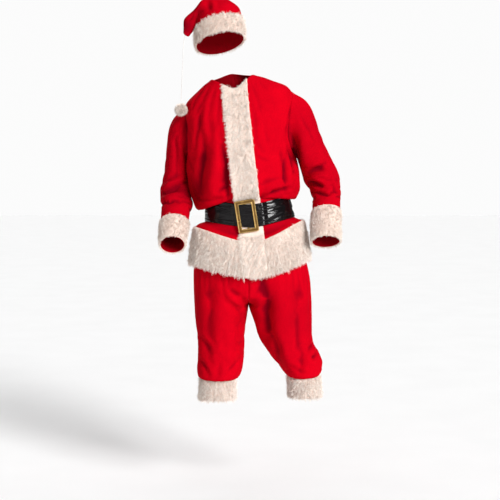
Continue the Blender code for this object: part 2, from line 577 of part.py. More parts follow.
def make_buckle():
    """A rectangular frame in front of the strap, joined at top and bottom to a bar behind it."""
    frame = box("belt_buckle", (BUCKLE_WIDTH, BUCKLE_THICKNESS, BUCKLE_HEIGHT), (0, 0, 0), BRASS)
    opening = box("buckle_opening", (BUCKLE_WIDTH - 2 * BUCKLE_BAR, 3 * BUCKLE_THICKNESS,
                                     BUCKLE_HEIGHT - 2 * BUCKLE_BAR), (0, 0, 0), BRASS)
    depth = BAR_SETBACK + BUCKLE_THICKNESS / 2
    bar = box("buckle_bar", (BAR_WIDTH, BAR_THICKNESS, BAR_LENGTH), (0, depth, 0), BRASS)
    reach = depth + BAR_THICKNESS / 2
    lugs = [box("buckle_lug", (BAR_WIDTH, reach, LUG_HEIGHT), (0, reach / 2, side * LUG_PLACE), BRASS)
            for side in (-1, 1)]
    place = (Matrix.Translation((BUCKLE_X, BUCKLE_Y, BUCKLE_Z)) @ Matrix.Rotation(-BUCKLE_TILT, 4, "X")
             @ Matrix.Rotation(-BUCKLE_LEAN, 4, "Y"))
    for piece in (frame, opening, bar, *lugs):
        piece.matrix_world = place
    for piece, operation in ((opening, "DIFFERENCE"), (bar, "UNION"), (lugs[0], "UNION"),
                             (lugs[1], "UNION")):
        cut = frame.modifiers.new(piece.name, "BOOLEAN")
        cut.operation, cut.object, cut.solver = operation, piece, "EXACT"
        piece.hide_render = True
        piece.display_type = "WIRE"
    bevel = frame.modifiers.new("edges", "BEVEL")
    bevel.width, bevel.segments, bevel.limit_method = BUCKLE_EDGE, 1, "ANGLE"


# ---------------------------------------------------------------- trousers
def make_trousers(places, grids, normals):
    """The waistband inside the jacket, the legs' four panels from it down, and the trims at the knees."""
    low, mid = float(JACKET.row("belt_low")), JACKET.row("belt_low") + 0.5
    rings = [body_ring(places, grids, t) for t in (low, mid)]
    ring_normals = [body_ring(places, normals, t) for t in (low, mid)]
    skin = -(CLOTH + GAP)
    wall("trouser_waistband", rings, ring_normals, skin - WAISTBAND_THICKNESS, skin, True, VELOUR)

    lowest = [point + normal * skin - Vector((0, 0, GAP)) for point, normal in zip(rings[0], ring_normals[0])]
    columns = {FRONT: PLACKET_COLUMNS + SIDE_COLUMNS, BACK: BACK_COLUMNS}
    total = len(lowest)
    waist = {
        (LEFT, FRONT): lowest[:columns[FRONT] + 1],
        (LEFT, BACK): lowest[columns[FRONT]:columns[FRONT] + columns[BACK] + 1][::-1],
        (RIGHT, BACK): lowest[columns[FRONT] + columns[BACK]:total - columns[FRONT] + 1],
        (RIGHT, FRONT): [lowest[0]] + lowest[total - columns[FRONT]:][::-1],
    }
    panels = {}
    for (side, face), first in waist.items():
        rows = [first] + [leg_row(side, t, face, columns[face]) for t in range(1, len(LEGS[side].names))]
        name = f"trouser_{'left' if side == LEFT else 'right'}_{'front' if face == FRONT else 'back'}"
        panels[name] = [row[::-1] for row in rows] if side * face < 0 else rows
    wraps = dict.fromkeys(panels, False)
    apply_folds(panels, shared_normals(panels, wraps))
    panel_normals = shared_normals(panels, wraps)
    seam = {tuple(point): normal for point, normal in zip(lowest, ring_normals[0])}
    for name, grid in panels.items():
        panel_normals[name][0] = [seam[tuple(point)] for point in grid[0]]
    for name, grid in panels.items():
        wall(name, pull_in(grid, "sides"), panel_normals[name], -CLOTH, 0.0, False, VELOUR)
    for side, word in ((LEFT, "left"), (RIGHT, "right")):
        first = LEGS[side].row("cuff_top")
        rings, ring_normals = [], []
        for source, target in ((panels, rings), (panel_normals, ring_normals)):
            fronts, backs = source[f"trouser_{word}_front"], source[f"trouser_{word}_back"]
            target += [front[:-1] + back[:-1] for front, back in zip(fronts[first:], backs[first:])]
        wall("trouser_cuff_fur_" + word, rings, ring_normals, GAP, pile(len(rings), CUFF_REACH), True, FUR)


# ---------------------------------------------------------------- hat
def make_hat():
    """The crown, closed at its tip, and the band of fur round its rim."""
    rings = {"hat_crown": [hat_ring(t, HAT_COLUMNS) for t in range(len(HAT.names))]}
    normals = shared_normals(rings, {"hat_crown": True})
    crown, crown_normals = rings["hat_crown"], normals["hat_crown"]
    wall("hat_crown", crown, crown_normals, -CLOTH, 0.0, True, VELOUR, cap_last=True)
    count = HAT.row("band_top") + 1
    wall("hat_band_fur", crown[:count], crown_normals[:count], GAP, pile(count, HAT_REACH), True, FUR)


def make_string():
    """The string from the hat's tip down to the pompom."""
    route = bpy.data.curves.new("hat_string", "CURVE")
    route.dimensions = "3D"
    route.bevel_depth = STRING_RADIUS
    route.bevel_resolution = 2
    route.use_fill_caps = True
    spline = route.splines.new("POLY")
    spline.points.add(STRING_POINTS - 1)
    for i, point in enumerate(spline.points):
        place = STRING.at(i / (STRING_POINTS - 1) * (len(STRING.names) - 1))
        point.co = (place.x, place.y, place.z, 1)
    route.materials.append(material("hat_string", *FUR))
    made = bpy.data.objects.new("hat_string", route)
    bpy.context.scene.collection.objects.link(made)


def make_pompom():
    """The pompom at the end of the string."""
    work = bmesh.new()
    bmesh.ops.create_uvsphere(work, u_segments=POMPOM_SEGMENTS, v_segments=POMPOM_RINGS,
                              radius=POMPOM_RADIUS)
    end = STRING.at(len(STRING.names) - 1)
    bmesh.ops.translate(work, vec=(end.x, end.y, end.z - GAP - POMPOM_RADIUS), verts=work.verts)
    mesh = bpy.data.meshes.new("hat_pompom")
    work.to_mesh(mesh)
    work.free()
    mesh.shade_smooth()
    new_object("hat_pompom", mesh, FUR)


def main():
    """Removes what is in the scene and builds the suit."""
    for old in list(bpy.data.objects):
        bpy.data.objects.remove(old, do_unlink=True)
    places, grids, normals = make_jacket()
    make_jacket_fur(places, grids, normals)
    make_belt(places, grids, normals)
    make_trousers(places, grids, normals)
    make_hat()
    make_string()
    make_pompom()


main()
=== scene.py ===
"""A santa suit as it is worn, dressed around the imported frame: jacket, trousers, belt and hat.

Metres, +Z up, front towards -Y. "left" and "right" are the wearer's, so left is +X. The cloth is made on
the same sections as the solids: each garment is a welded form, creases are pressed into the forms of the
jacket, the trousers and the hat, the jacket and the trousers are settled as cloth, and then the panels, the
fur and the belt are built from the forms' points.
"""
from __future__ import annotations

import json
import logging
import math
from dataclasses import dataclass
from enum import IntEnum
from types import SimpleNamespace

import bmesh
import bpy
import numpy as np
from mathutils import Matrix, Vector, noise

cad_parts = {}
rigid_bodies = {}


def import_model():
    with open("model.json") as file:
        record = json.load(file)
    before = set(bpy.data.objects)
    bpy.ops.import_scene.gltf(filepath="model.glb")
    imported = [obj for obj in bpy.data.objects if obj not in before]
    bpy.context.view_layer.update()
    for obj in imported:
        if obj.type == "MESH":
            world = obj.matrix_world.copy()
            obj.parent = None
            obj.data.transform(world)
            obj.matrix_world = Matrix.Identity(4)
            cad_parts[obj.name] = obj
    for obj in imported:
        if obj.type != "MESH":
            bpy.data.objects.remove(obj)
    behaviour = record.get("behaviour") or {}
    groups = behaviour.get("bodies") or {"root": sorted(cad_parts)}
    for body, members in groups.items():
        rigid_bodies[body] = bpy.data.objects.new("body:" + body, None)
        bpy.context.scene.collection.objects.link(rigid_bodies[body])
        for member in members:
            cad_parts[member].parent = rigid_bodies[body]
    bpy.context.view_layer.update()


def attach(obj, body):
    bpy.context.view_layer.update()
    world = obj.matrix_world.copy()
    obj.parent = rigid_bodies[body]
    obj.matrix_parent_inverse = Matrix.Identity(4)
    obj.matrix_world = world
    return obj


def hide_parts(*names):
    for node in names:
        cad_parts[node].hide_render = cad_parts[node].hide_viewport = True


Array = np.ndarray
Material = bpy.types.Material
Piece = bpy.types.Object
Socket = bpy.types.NodeSocket

log = logging.getLogger("santa_suit")

BODY = "root"
NOISE_SEED = 7           # makes the noise the same in every run
NECK = "worn_neck"       # the opening where the wearer holds the suit up


class Side(IntEnum):
    """The wearer's sides, as the sign of X."""

    RIGHT = -1
    LEFT = 1


class Face(IntEnum):
    """The suit's front and back, as the sign of Y."""

    FRONT = -1
    BACK = 1


class Rim(IntEnum):
    """How the edge of a cloth panel is finished."""

    CUT = 0
    SEAM = 1
    HEM = 2


# ------------ numbers and tables
MIN_STEPS = 3            # the fewest places between two rows of a table


class Table:
    """Rows of named numbers, read at any point between two rows on a curve that never overshoots."""

    def __init__(self, columns: str, text: str) -> None:
        """Reads the rows and works out the curve's slopes.

        Args:
            columns: The columns' names, with spaces between them.
            text: A line for each row, with its name and the columns' numbers.
        """
        rows = [line.split() for line in text.strip().splitlines()]
        self.names = [row[0] for row in rows]
        self.columns = columns.split()
        self.values = np.array([row[1:] for row in rows], float)
        steps = np.diff(self.values, axis=0)
        before, after = steps[:-1], steps[1:]
        same_way = before * after > 0
        total = np.where(same_way, before + after, 1.0)
        inner = np.where(same_way, 2 * before * after / total, 0.0)
        self.slopes = np.vstack([steps[:1], inner, steps[-1:]])

    def row(self, name: str) -> int:
        """The number of a named row."""
        return self.names.index(name)

    def at(self, t: float) -> SimpleNamespace:
        """The columns' values at a place, which is a row's number where it is whole.

        Args:
            t: The place, from 0 to the last row's number.

        Returns:
            A namespace with one value for each column.
        """
        low = int(min(max(t, 0), len(self.values) - 1.000001))
        f = t - low
        start, end = self.values[low], self.values[low + 1]
        value = (start * (1 + 2 * f) * (1 - f) ** 2 + end * f * f * (3 - 2 * f)
                 + self.slopes[low] * f * (1 - f) ** 2 - self.slopes[low + 1] * f * f * (1 - f))
        return SimpleNamespace(**dict(zip(self.columns, value)))

    def all(self) -> list[SimpleNamespace]:
        """Every row as a namespace."""
        return [SimpleNamespace(**dict(zip(self.columns, row))) for row in self.values]



# ------------ sections of the suit
# From the hem up: z and y of the centre front and back, x, y and z of the two sides, and half the opening
# of the armholes.
JACKET_COLUMNS = ("front_z back_z right_z left_z front_y back_y "
                  "right_x left_x right_y left_y right_gap left_gap")
JACKET = Table(JACKET_COLUMNS, """
hem_edge -.752 -.69 -.705 -.688 -.165 .152 -.155 .299 0 0 0 0
hem_mid -.688 -.625 -.636 -.617 -.159 .147 -.148 .289 0 0 0 0
hem_top -.621 -.56 -.567 -.543 -.15 .138 -.136 .272 0 0 0 0
flare -.6 -.545 -.555 -.537 -.1265 .122 -.121 .257 0 0 0 0
belt_low -.5645 -.535 -.5455 -.5305 -.1195 .108 -.0985 .243 0 0 0 0
belt_top -.4795 -.45 -.4605 -.4475 -.119 .107 -.0965 .223 0 0 0 0
tuck -.47 -.443 -.452 -.44 -.1185 .11 -.1 .226 0 0 0 0
roll -.46 -.444 -.463 -.446 -.12 .122 -.111 .2345 0 0 0 0
blouse_low -.448 -.448 -.5 -.458 -.126 .131 -.121 .242 0 0 0 0
blouse -.43 -.436 -.486 -.444 -.138 .139 -.135 .251 0 0 0 0
waist -.395 -.392 -.43 -.405 -.15 .144 -.149 .2635 .01 0 0 0
ribs -.335 -.33 -.365 -.345 -.149 .143 -.163 .2605 .025 0 0 0
underarm -.285 -.285 -.312 -.3 -.146 .141 -.168 .2505 .042 0 0 0
arm_low -.235 -.235 -.272 -.262 -.141 .14 -.166 .232 .048 -.002 .045 .048
arm_mid -.18 -.172 -.212 -.188 -.133 .137 -.164 .219 .055 -.004 .066 .07
arm_high -.128 -.11 -.148 -.108 -.121 .129 -.17 .224 .06 -.004 .056 .058
shoulder -.092 -.048 -.098 -.031 -.107 .112 -.18 .229 .06 0 0 0
yoke -.066 -.009 -.042 -.005 -.09 .088 -.124 .155 .03 0 0 0
neck -.047 .022 -.006 .012 -.076 .066 -.073 .08 .004 0 0 0
""")

SLEEVE_COLUMNS = "inner_x inner_z outer_x outer_z y half_depth pitch"
# Each sleeve from the armhole down: the side next to the body, the outer side, and the middle's depth, half
# the sleeve's depth and how far the section tips forward, in degrees.
SLEEVES = {
    Side.LEFT: Table(SLEEVE_COLUMNS, """
armhole .2505 -.3 .229 -.031 0 .07 0
cap_high .2535 -.303 .276 -.064 0 .078 0
cap .257 -.308 .314 -.128 0 .078 0
cap_low .26 -.316 .341 -.205 .003 .075 0
upper .266 -.331 .369 -.272 .008 .072 0
above_elbow .274 -.355 .398 -.326 .014 .069 2
elbow .282 -.388 .4165 -.374 .018 .066 6
below_elbow .303 -.42 .4205 -.412 .01 .062 18
forearm .311 -.462 .4195 -.458 -.012 .058 27
cuff_top .3115 -.507 .415 -.504 -.04 .054 28
cuff_mid .308 -.563 .411 -.561 -.073 .053 28
opening .307 -.619 .41 -.617 -.105 .052 28
"""),
    Side.RIGHT: Table(SLEEVE_COLUMNS, """
armhole -.168 -.312 -.18 -.098 .055 .066 0
cap_high -.1765 -.317 -.206 -.118 .06 .074 0
cap -.1785 -.323 -.232 -.16 .064 .074 0
cap_low -.179 -.332 -.247 -.22 .067 .072 0
upper -.178 -.347 -.253 -.287 .07 .069 0
above_elbow -.173 -.371 -.26 -.345 .07 .066 3
elbow -.168 -.402 -.268 -.392 .06 .064 14
below_elbow -.161 -.437 -.273 -.432 .036 .06 33
forearm -.156 -.484 -.266 -.482 -.018 .057 42
cuff_top -.16 -.548 -.263 -.549 -.09 .052 42
cuff_mid -.166 -.586 -.261 -.588 -.138 .0505 42
opening -.17 -.624 -.258 -.626 -.185 .049 42
"""),
}

LEG_COLUMNS = "front_z back_z side_z inner_z inner_x side_x front_y back_y start"
# Each leg from the waist down: z of the front, back, side and inseam, x of the inner edge and of the side
# seam, y of the front and back, and where the section starts: at 90 degrees it is half of a shared section,
# at 0 degrees it is a leg closed at the inseam. The seams lie at y = 0.
LEGS = {
    Side.LEFT: Table(LEG_COLUMNS, """
waist -.548 -.515 -.51 -.532 .069 .236 -.117 .104 90
high_hip -.604 -.565 -.577 -.585 .068 .252 -.1225 .118 90
hip -.69 -.65 -.66 -.67 .067 .28 -.146 .134 90
seat -.765 -.735 -.74 -.75 .067 .3 -.148 .141 90
low_seat -.812 -.806 -.8 -.812 .067 .307 -.141 .138 85
rise -.845 -.842 -.838 -.836 .067 .3095 -.134 .134 42
crotch -.884 -.884 -.884 -.852 .067 .3105 -.128 .129 0
thigh -.926 -.926 -.926 -.918 .087 .3115 -.117 .119 0
mid_thigh -.964 -.964 -.964 -.964 .1 .3115 -.11 .112 0
low_thigh -1.008 -1.008 -1.008 -1.008 .121 .318 -.104 .104 0
knee -1.052 -1.052 -1.046 -1.052 .15 .338 -.1 .097 0
bag -1.095 -1.092 -1.082 -1.094 .184 .35 -.096 .092 0
bag_low -1.128 -1.12 -1.11 -1.124 .207 .3485 -.09 .086 0
bag_edge -1.141 -1.132 -1.124 -1.136 .2165 .344 -.08 .078 0
gather -1.13 -1.125 -1.119 -1.127 .2255 .336 -.069 .068 0
cuff_top -1.146 -1.142 -1.139 -1.144 .2255 .338 -.068 .068 0
cuff_low -1.183 -1.183 -1.183 -1.183 .2265 .341 -.069 .069 0
cuff_edge -1.222 -1.222 -1.222 -1.222 .2275 .345 -.07 .07 0
"""),
    Side.RIGHT: Table(LEG_COLUMNS, """
waist -.548 -.515 -.525 -.532 .069 -.093 -.117 .104 90
high_hip -.604 -.565 -.59 -.585 .068 -.112 -.1225 .118 90
hip -.69 -.65 -.67 -.67 .067 -.137 -.146 .134 90
seat -.765 -.735 -.745 -.75 .067 -.1445 -.148 .141 90
low_seat -.812 -.806 -.8 -.812 .067 -.1435 -.141 .138 85
rise -.845 -.842 -.838 -.836 .067 -.1415 -.134 .134 42
crotch -.884 -.884 -.884 -.852 .067 -.139 -.128 .129 0
thigh -.926 -.926 -.926 -.918 .0555 -.135 -.117 .119 0
mid_thigh -.964 -.964 -.964 -.964 .0535 -.131 -.11 .112 0
low_thigh -1.01 -1.01 -1.01 -1.01 .05 -.1285 -.105 .104 0
knee -1.056 -1.056 -1.056 -1.056 .0475 -.129 -.101 .097 0
bag -1.1 -1.096 -1.098 -1.098 .043 -.132 -.098 .092 0
bag_low -1.137 -1.126 -1.128 -1.131 .033 -.129 -.09 .086 0
bag_edge -1.149 -1.138 -1.141 -1.143 .021 -.123 -.08 .078 0
gather -1.136 -1.13 -1.132 -1.133 .0095 -.112 -.068 .067 0
cuff_top -1.152 -1.148 -1.15 -1.15 .0095 -.114 -.067 .067 0
cuff_low -1.19 -1.19 -1.19 -1.19 .0095 -.1165 -.068 .068 0
cuff_edge -1.232 -1.232 -1.232 -1.232 .0105 -.1205 -.069 .069 0
"""),
}

# The hat from its rim: the side at the fold (near), the far side, the middle's depth, half the depth, and
# how much the front of the section is raised. The cap folds over to the wearer's right.
HAT = Table("near_x near_z far_x far_z y half_depth lift", """
rim -.131 .115 .049 .152 0 .104 .03
rim_mid -.132 .148 .0465 .188 0 .105 .03
band_top -.132 .18 .042 .224 0 .103 .029
side -.13 .201 .0345 .256 0 .094 .024
dome -.126 .216 .008 .28 0 .08 .017
top -.123 .222 -.034 .299 -.002 .066 .01
crest -.1255 .2245 -.096 .296 -.005 .054 .006
fold -.131 .218 -.145 .248 -.01 .043 0
flap -.1375 .203 -.177 .213 -.016 .031 0
flap_low -.141 .1795 -.1785 .188 -.024 .019 0
tip -.156 .156 -.179 .1715 -.03 .008 0
""")

# The string's route from the hat's tip down to the pompom.
STRING = Table("x y z", """
tip -.16768 -.03 .1635
below_tip -.173 -.03 .155
upper -.1785 -.0302 .128
middle -.183 -.0305 .04
lower -.187 -.031 -.05
pompom -.189 -.031 -.0952
""")


# ------------ folds
# Each fold's two ends, its width and height, a trough being negative, and how far its middle bends.
FOLD_COLUMNS = "x1 z1 x2 z2 width height bend"
BODY_FOLDS = {
    Face.FRONT: Table(FOLD_COLUMNS, """
chest_trough_right -.1 -.23 -.134 -.44 .022 -.015 .006
chest_ridge_right -.042 -.25 -.07 -.446 .021 .015 .003
placket_trough -.03 -.25 -.002 -.462 .012 -.015 -.003
placket_tuck -.05 -.428 -.002 -.402 .009 -.004 .003
side_trough_right -.134 -.18 -.15 -.33 .012 -.005 .004
blouse_trough_right -.02 -.446 -.13 -.452 .009 -.006 .004
side_trough_left .218 -.28 .212 -.44 .012 -.01 -.005
chest_trough_left .186 -.25 .2 -.37 .018 -.007 .006
blouse_trough_left .12 -.452 .232 -.418 .009 -.009 .006
blouse_ridge_left .104 -.432 .214 -.396 .014 .006 .008
blouse_tuck_left .15 -.455 .168 -.405 .008 -.005 .003
placket_tuck_left .112 -.46 .122 -.41 .008 -.004 -.002
shoulder_trough_left .222 -.1 .214 -.24 .012 -.006 .006
armhole_trough_left .212 -.19 .25 -.345 .016 -.025 .004
yoke_trough_right -.128 -.11 -.116 -.24 .014 -.006 .004
"""),
    Face.BACK: Table(FOLD_COLUMNS, """
back_trough_right -.09 -.2 -.06 -.43 .018 -.01 .008
back_ridge_right -.064 -.24 -.03 -.44 .016 .007 .006
back_trough_left .168 -.21 .12 -.43 .018 -.01 -.008
back_ridge_left .132 -.25 .092 -.44 .016 .007 -.004
back_ridge .03 -.2 .04 -.43 .024 .007 .005
blade_trough -.06 -.15 .05 -.185 .018 -.005 .006
blouse_tuck_right -.046 -.45 -.052 -.395 .009 -.006 .003
blouse_tuck_middle .07 -.45 .06 -.39 .009 -.006 -.003
blouse_tuck_left .176 -.45 .18 -.4 .009 -.006 .002
"""),
}
SLEEVE_FOLDS = {
    (Side.LEFT, Face.FRONT): Table(FOLD_COLUMNS, """
elbow_trough .278 -.386 .35 -.414 .011 -.017 .004
elbow_ridge .288 -.364 .366 -.364 .011 .01 .004
elbow_trough_high .272 -.372 .356 -.314 .012 -.014 -.006
outer_ridge .368 -.33 .404 -.42 .009 .005 .004
outer_trough .388 -.4 .412 -.45 .008 -.004 .003
forearm_trough .306 -.425 .376 -.454 .01 -.01 .004
cuff_ridge .345 -.478 .408 -.44 .01 .005 .004
cuff_tuck .318 -.5 .33 -.462 .007 -.004 .002
armhole_trough .216 -.19 .254 -.345 .016 -.022 .004
cap_ridge .256 -.16 .286 -.31 .018 .01 .004
"""),
    (Side.LEFT, Face.BACK): Table(FOLD_COLUMNS, """
elbow_ridge .3 -.372 .404 -.388 .012 .007 -.004
elbow_trough .298 -.395 .4 -.412 .011 -.007 -.004
arm_trough .285 -.23 .335 -.345 .013 -.007 .004
arm_ridge .305 -.21 .355 -.32 .013 .005 .004
forearm_tuck .33 -.5 .372 -.455 .009 -.004 .003
"""),
    (Side.RIGHT, Face.FRONT): Table(FOLD_COLUMNS, """
elbow_trough -.262 -.432 -.184 -.398 .01 -.013 .004
elbow_ridge -.26 -.412 -.19 -.376 .01 .006 .004
forearm_ridge -.264 -.458 -.186 -.43 .01 .007 .004
forearm_trough -.262 -.484 -.186 -.466 .01 -.011 .003
cuff_ridge -.25 -.505 -.18 -.492 .01 .006 -.003
inner_trough -.186 -.25 -.176 -.372 .01 -.007 -.003
arm_trough -.226 -.2 -.212 -.365 .012 -.01 .004
arm_ridge -.198 -.23 -.192 -.38 .012 .007 .003
"""),
    (Side.RIGHT, Face.BACK): Table(FOLD_COLUMNS, """
elbow_ridge -.18 -.372 -.258 -.392 .012 .007 .004
elbow_trough -.176 -.394 -.256 -.414 .011 -.007 .003
arm_trough -.196 -.24 -.228 -.352 .013 -.007 .004
forearm_tuck -.18 -.47 -.235 -.452 .01 -.005 .003
"""),
}
LEG_FOLDS = {
    Face.FRONT: Table(FOLD_COLUMNS, """
thigh_trough_left .122 -.74 .134 -.985 .024 -.018 .006
thigh_edge_left .092 -.9 .112 -1 .012 .005 .003
shin_trough_left .146 -.95 .204 -1.11 .017 -.01 -.005
thigh_ridge_left .196 -.74 .212 -1.05 .032 .012 .004
thigh_crease_left .248 -.86 .256 -1.06 .014 -.004 .004
knee_trough_left .276 -1.004 .262 -1.118 .012 -.005 .004
knee_ridge_left .288 -1.054 .32 -1.086 .01 .007 .003
knee_tuck_left .336 -.996 .286 -1.04 .01 -.007 -.003
knee_step_left .346 -1.044 .296 -1.064 .008 -.006 -.003
bag_trough_left .228 -1.088 .3 -1.116 .01 -.004 -.004
crotch_trough_left .078 -.846 .124 -.78 .012 -.006 .004
crotch_ridge_left .086 -.872 .142 -.824 .011 .005 .004
crotch_trough_right .058 -.846 -.024 -.776 .012 -.006 -.005
crotch_ridge_right .05 -.868 -.032 -.806 .012 .005 -.005
crotch_tuck_right .044 -.892 -.012 -.85 .01 -.003 -.004
thigh_ridge_right -.014 -.82 -.006 -1.1 .03 .008 .003
thigh_trough_right -.082 -.77 -.088 -1.08 .02 -.006 .005
side_crease_right -.126 -.968 -.074 -1.04 .01 -.006 .004
knee_crease_right -.124 -1.06 -.08 -1.128 .01 -.007 .004
knee_tuck_right .03 -1.064 -.014 -1.124 .01 -.006 -.003
bag_tuck_right -.04 -1.08 -.05 -1.135 .009 -.004 .002
"""),
    Face.BACK: Table(FOLD_COLUMNS, """
seat_trough_left .092 -.866 .196 -.93 .018 -.01 .008
seat_ridge_left .1 -.838 .206 -.89 .018 .006 .008
seat_trough_right .044 -.866 -.07 -.92 .018 -.01 -.008
seat_ridge_right .036 -.838 -.078 -.884 .018 .006 -.008
calf_ridge_left .246 -.92 .272 -1.09 .022 .009 .004
calf_trough_left .2 -.93 .232 -1.09 .015 -.008 .004
knee_trough_left .236 -1.04 .318 -1.062 .012 -.007 .004
calf_ridge_right -.02 -.92 -.03 -1.1 .022 .009 .003
calf_trough_right -.07 -.92 -.082 -1.1 .015 -.008 .004
knee_trough_right .02 -1.05 -.06 -1.064 .012 -.007 .004
"""),
}
HAT_FOLDS = {
    Face.FRONT: Table(FOLD_COLUMNS, """
flap_trough -.164 .166 -.126 .236 .012 -.01 .004
flap_ridge -.15 .18 -.108 .246 .011 .008 .004
crown_trough -.096 .285 -.082 .222 .011 -.005 .003
crown_ridge -.072 .285 -.06 .225 .009 .005 .002
crown_trough_low -.066 .262 -.012 .236 .011 -.004 .005
crown_ridge_left -.018 .29 .01 .232 .013 .004 .003
"""),
    Face.BACK: Table(FOLD_COLUMNS, """
flap_trough -.15 .176 -.1 .24 .012 -.007 .004
crown_trough -.08 .285 -.066 .222 .011 -.007 .003
crown_ridge -.05 .285 -.03 .225 .012 .005 .002
crown_trough_left -.01 .28 .012 .232 .012 -.005 .003
"""),
}

# Where the cloth stands fuller than its section: beside the elbow, and at the inner side of the hat's fold.
SWELL_COLUMNS = "x y z radius height"
SWELLS = {
    "body": Table(SWELL_COLUMNS, """
side_high -.165 .028 -.335 .04 .007
side_low -.15 .012 -.425 .042 .009
"""),
    "sleeve": Table(SWELL_COLUMNS, """
elbow_high -.176 .064 -.345 .048 .007
elbow_low -.164 .034 -.42 .04 .006
forearm -.157 -.005 -.48 .036 .008
"""),
    "hat": Table(SWELL_COLUMNS, """
fold_high -.136 -.03 .222 .026 .006
fold_low -.146 -.018 .194 .024 .009
"""),
}

# Where the cloth lies smooth: over both ends of the shoulders and between them and the neck.
SMOOTH_COLUMNS = "x y z radius steps"
SMOOTH_PLACES = Table(SMOOTH_COLUMNS, """
shoulder_left .229 0 -.031 .06 50
shoulder_right -.18 .055 -.098 .05 30
yoke_left .165 -.045 -.06 .06 16
chest_left .17 -.1 -.18 .07 6
""")

# Where painted shade is laid on the velour besides the hollows of its folds: beside the arms, down the
# sleeves and on the hat's flap, among others.
SHADE_COLUMNS = "x y z radius depth"
SHADES = {
    "body": Table(SHADE_COLUMNS, """
side -.14 -.07 -.43 .055 .75
placket -.008 -.13 -.37 .032 .35
armhole_left .24 -.05 -.29 .036 .55
blouse_left .19 -.12 -.43 .06 .2
"""),
    "sleeve": Table(SHADE_COLUMNS, """
inner_right -.174 -.02 -.43 .042 .8
upper_right -.225 0 -.26 .12 .3
lower_right -.225 -.02 -.44 .12 .3
armhole_left .256 -.05 -.29 .034 .55
upper_left .31 -.02 -.21 .12 .28
lower_left .37 -.02 -.4 .12 .22
"""),
    "leg": Table(SHADE_COLUMNS, """
thigh_left .25 -.09 -.9 .13 .26
edge_right -.125 -.05 -.9 .06 .2
"""),
    "hat": Table(SHADE_COLUMNS, """
flap -.166 -.03 .19 .04 .95
crown -.122 -.04 .245 .036 .6
top -.01 -.05 .27 .07 .28
"""),
}


# ------------ sizes that the pieces share, metres
CLOTH = 0.002            # thickness of the velour
GAP = 0.0003             # clearance between layers
SEAM_GAP = 0.00006       # clearance between panels at a seam
WELD = 1e-6              # points nearer than this are one
ROW_STEP = 0.0062        # spacing of the cloth's rows
HEM_ROLL = 0.0010        # how much a turned edge thickens the cloth
SEAM_DIP = 0.0011        # how deep a seam pulls the cloth in
FOLD_POWER = 0.6         # how fast a fold rises from its ends
FOLD_TROUGH = 0.45       # share of a fold's height that the hollow beside it has
FOLD_TROUGH_PLACE = 1.75  # its place, in fold widths
FOLD_WARP = 0.010        # how far a fold strays from its line
FOLD_WARP_SCALE = 9.0    # cycles a metre of that straying
FOLD_END = 0.06          # share of a fold's length over which its end stays open
FOLD_FACING = (-0.05, 0.40)   # a fold reaches the cloth that faces its side by more than this
CRUMPLE = 0.0011         # height of the small unevenness all over the cloth
CRUMPLE_SCALES = (16.0, 43.2)  # its cycles a metre, coarse and fine
CRUMPLE_SHARES = (1.5, 0.5)    # how high each of them is
EVEN_SHARE = 0.6         # how far one step of evening out takes a point
# How deep a point lies below the evened surface sets the painted shade in the velour's hollows.
HOLLOW_STEPS = 40        # steps that even out the folds, to tell how deep each point lies
HOLLOW_START = 0.0009    # a point this far above the evened surface is on a crest
HOLLOW_RANGE = 0.0060    # from there to the bottom of a deep trough

CENTRE_FRONT_TOP, CENTRE_FRONT_SLOPE = 0.010, 0.1155   # x of the closure at z = 0, and its lean
SECTION_POWER = 2.2      # how square the jacket's sections are
SEAM_EASE, CENTRE_EASE = 1.5, 1.3   # how a section's height eases from the side seam to the middle
LEG_POWER = 0.92         # how square the legs' sections are
CAP_END = 3.0            # the row at which a sleeve no longer follows its armhole


def unit(vectors: Array) -> Array:
    """Vectors scaled to length 1."""
    return vectors / np.maximum(np.linalg.norm(vectors, axis=-1, keepdims=True), 1e-12)


def smooth(low: float, high: float, value: Array | float) -> Array:
    """0 below low, 1 above high and an S between them."""
    f = np.clip((np.asarray(value, float) - low) / (high - low), 0.0, 1.0)
    return f * f * (3 - 2 * f)


def quads_of(index: Array, wrap: bool) -> Array:
    """Faces between the points of a grid.

    Args:
        index: The points' numbers, in rows and columns.
        wrap: Whether the last column joins the first.

    Returns:
        Four point numbers for each face.
    """
    across = np.concatenate([index, index[:, :1]], axis=1) if wrap else index
    corners = [across[:-1, :-1], across[:-1, 1:], across[1:, 1:], across[1:, :-1]]
    return np.stack(corners, axis=-1).reshape(-1, 4)


def noise_at(points: Array, scale: float, seed: float) -> Array:
    """Smooth noise vectors at points.

    Args:
        points: The places.
        scale: Cycles a metre.
        seed: Shifts the pattern.

    Returns:
        A vector for each place, from about -1 to 1.
    """
    flat = points.reshape(-1, 3).tolist()
    found = [noise.noise_vector(Vector(point) * scale + Vector((seed, seed, seed))) for point in flat]
    return np.array(found).reshape(points.shape)


def nearness(points: Array, place: SimpleNamespace) -> Array:
    """How near points are to a place: 1 at its middle, falling off over its radius."""
    away = np.linalg.norm(points - np.array((place.x, place.y, place.z)), axis=1)
    return np.exp(-(away / place.radius) ** 2)


